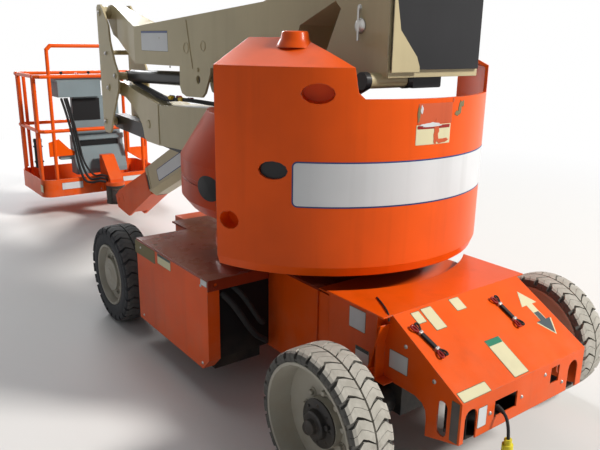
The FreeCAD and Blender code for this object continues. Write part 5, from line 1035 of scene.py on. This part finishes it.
# %% Oval field on the cowl
badge_at = facing((SLEW_X + 0.688 * math.cos(math.radians(97)), 0.688 * math.sin(math.radians(97)), 1.000),
                  (math.cos(math.radians(97)), math.sin(math.radians(97)), 0))
verts, faces = [], []
for level, grow in ((0.0, 1.0), (0.0012, 0.97), (0.0014, 0.0)):
    for k in range(36):
        t = 2 * math.pi * k / 36
        across, high = 0.085 * grow * math.cos(t), 0.055 * grow * math.sin(t)
        sink = 0.688 - math.sqrt(0.688 ** 2 - across ** 2)
        verts.append(badge_at @ Vector((across, high, level - sink)))
for row in (0, 36):
    faces += [(row + k, row + (k + 1) % 36, row + 36 + (k + 1) % 36, row + 36 + k) for k in range(36)]
keep("cowl_field", "cowl_left", "orange", (verts, faces), black_plastic)

# %% [markdown]
# The control box is what the operator touches, so it gets its switches: two joysticks in
# rubber boots, a row of toggles, a round stop button and a dark panel below.

# %% Control box fittings
console_low, console_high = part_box("control_box")
top_out = Vector((0.25, 0, 1)).normalized()
dark, steel, red, grey = ([], []), ([], []), ([], []), ([], [])
for x, y in ((2.13, 0.15), (2.13, -0.10)):
    stick = facing((x, y, 1.268), top_out, (1, 0, 0))
    lathe(dark, stick, [(0.034, -0.006), (0.034, 0.003), (0.027, 0.007), (0.024, 0.011), (0.018, 0.014), (0.015, 0.018), (0.009, 0.020),
                        (0.007, 0.030), (0.012, 0.033), (0.015, 0.042), (0.011, 0.050), (0.0, 0.052)], 24)
for k in range(8):
    switch = facing((2.205, 0.19 - 0.045 * k, 1.250), top_out, (1, 0, 0))
    lathe(steel, switch, [(0.008, -0.004), (0.008, 0.005), (0.005, 0.007), (0.003, 0.009), (0.0042, 0.028), (0.0, 0.030)], 12)
lathe(red, facing((2.10, 0.025, 1.275), top_out, (1, 0, 0)), [(0.012, -0.004), (0.012, 0.012), (0.021, 0.016), (0.021, 0.024), (0.014, 0.029),
                                                              (0.0, 0.030)], 24)
keep("console_sticks", "platform", "black_plastic", dark, black_plastic)
keep("console_toggles", "platform", "rod_chrome", steel, bright_steel)
keep("console_stop", "platform", "orange", red, pull_red)
print("console", [round(c, 3) for c in console_low], [round(c, 3) for c in console_high])

# %% Dark panel, band and tube on the platform
dark, bright = ([], []), ([], [])
stand_low, stand_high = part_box("console_cover")
slab(dark, facing((stand_low.x + 0.0695, -0.045, 0.975), REAR), oblong(0.255, 0.200, 0.006), -0.001, 0.006, 0.002)
slab(dark, facing((stand_low.x + 0.0775, -0.141, 0.656), REAR), oblong(0.380, 0.046, 0.004), -0.001, 0.004, 0.001)
tube_at = facing((2.214, 0.392, 0.450), TOP, (1, 0, 0))
lathe(dark, tube_at, [(0.031, 0.0), (0.034, 0.004), (0.034, 0.232), (0.037, 0.236), (0.037, 0.262), (0.033, 0.268), (0.0, 0.268)], 28)
for z in (0.50, 0.64):
    slab(dark, facing((2.214, 0.392, z), TOP, (1, 0, 0)), oblong(0.078, 0.050, 0.010), 0.0, 0.012, 0.002)
keep("platform_dark_fittings", "platform", "black_plastic", dark, black_plastic)
small_box = ([], [])
slab(small_box, facing((2.045, 0.185, 0.560), (1, 0, 0)), oblong(0.120, 0.060, 0.008), 0.0, 0.070, 0.004)
keep("small_box", "platform", "grey_plastic", small_box, grey_plastic)

# %% [markdown]
# Bright pins and keepers show on the tail upright, and dark slide pads stand round the
# fly boom where it leaves the base boom.

# %% Tail pins, boom pads and knee links
steel, dark = ([], []), ([], [])
pin = facing((-1.985, 0.207, 1.672), LEFT)
lathe(steel, pin, [(0.030, -0.002), (0.030, 0.006), (0.024, 0.012), (0.012, 0.016), (0.0, 0.016)], 28)
wire(steel, [Vector((-1.985, 0.222, 1.615)), Vector((-1.985, 0.222, 1.735))], 0.005)
bolt(steel, facing((-1.975, 0.207, 1.742), LEFT), 0.009)
keep("tail_keeper", "tail_upright", "rod_chrome", steel, bright_steel)
flange = ([], [])
slab(flange, facing((-2.164, 0, 0), REAR), [(-0.205, 1.80), (-0.205, 1.500), (-0.052, 1.500), (-0.055, 1.522), (-0.072, 1.558),
                                            (-0.166, 1.656), (-0.190, 1.762), (-0.192, 1.80)], -0.0005, 0.003, 0.001)
wire(flange, [Vector((-2.095, 0.05, 1.468)), Vector((-2.095, 0.27, 1.468))], 0.030, steps=24)
keep("tail_flange", "tail_upright", "beige", flange, beige)
caps = ([], [])
for y in (0.270, 0.050):
    wire(caps, [Vector((-2.095, y - 0.004, 1.468)), Vector((-2.095, y + 0.022, 1.468))], 0.034, steps=24)
slab(caps, facing((-2.080, -0.055, 1.462), REAR), oblong(0.170, 0.056, 0.008), -0.03, 0.03, 0.003)
keep("tail_tube_ends", "tail_upright", "black_steel", caps, black_paint)
marks = ([], [])
for x, z, r in ((-0.442, 1.564, 0.030), (-0.650, 1.578, 0.026)):
    wire(marks, [Vector((x + r * math.cos(t), 0.1905, z + r * math.sin(t))) for t in (math.pi * k / 12 for k in range(24))], 0.003, True, 6)
bolt(marks, facing((-0.583, 0.190, 1.445), LEFT), 0.011)
keep("upper_arm_marks", "upper_arm", "beige", marks, beige)
end_along = 3.065
for a, b, wide, tall in ((0.0, 0.108, 0.13, 0.014), (0.0, -0.108, 0.09, 0.014), (0.090, 0.0, 0.012, 0.12), (-0.090, 0.0, 0.012, 0.12)):
    centre = Vector((-1.970, -0.160, 1.800)) + boom_way * end_along + boom_up * b + Vector((0, a, 0))
    slab(dark, facing(centre, boom_way, boom_up), oblong(wide, tall, 0.003), -0.02, 0.006, 0.001)
keep("boom_wear_pads", "main_boom", "black_steel", dark, black_plastic)

# %% [markdown]
# Welding leaves a ripple of small overlapping scales. A bead is a thin bar whose thickness
# swells and shrinks along its way.

# %% Weld beads
def bead(lists, points, radius=0.004, step=0.005):
    verts, faces = lists
    line = []
    for a, b in zip(points, points[1:]):
        count = max(2, int((b - a).length / step))
        line += [a.lerp(b, k / count) for k in range(count)]
    base = len(verts)
    wire(lists, line + [points[-1]], radius, steps=6)
    for i in range(0, len(line), 2):
        centre = line[i]
        for k in range(6):
            v = verts[base + i * 6 + k]
            verts[base + i * 6 + k] = centre + (v - centre) * 0.72


# body, then the bead's corners
BEADS = (
    ("tail_upright", ((-2.146, 0.2075, 1.49), (-2.146, 0.2075, 1.83))),
    ("main_boom", tuple(tuple(Vector((-1.970, -0.0645, 1.800)) + boom_way * 3.02 + boom_up * h) for h in (0.11, -0.06))),
    ("fly_boom", tuple(tuple(Vector((-1.970, -0.0775, 1.800)) + boom_way * 3.11 + boom_up * h) for h in (0.09, -0.06))),
    ("upper_arm", ((-0.52, 0.191, 1.45), (-0.45, 0.191, 1.72))),
    ("lower_arm", ((-0.02, 0.191, 0.945), (-0.02, 0.191, 1.200))),
    ("chassis", ((-1.965, 0.3745, 0.20), (-1.965, 0.3745, 0.59))),
)
for body, corners in BEADS:
    lists = ([], [])
    bead(lists, [Vector(c) for c in corners])
    keep("weld_" + body, body, "beige" if body not in ("chassis", "fly_boom") else "orange", lists,
         beige if body not in ("chassis", "fly_boom") else orange)
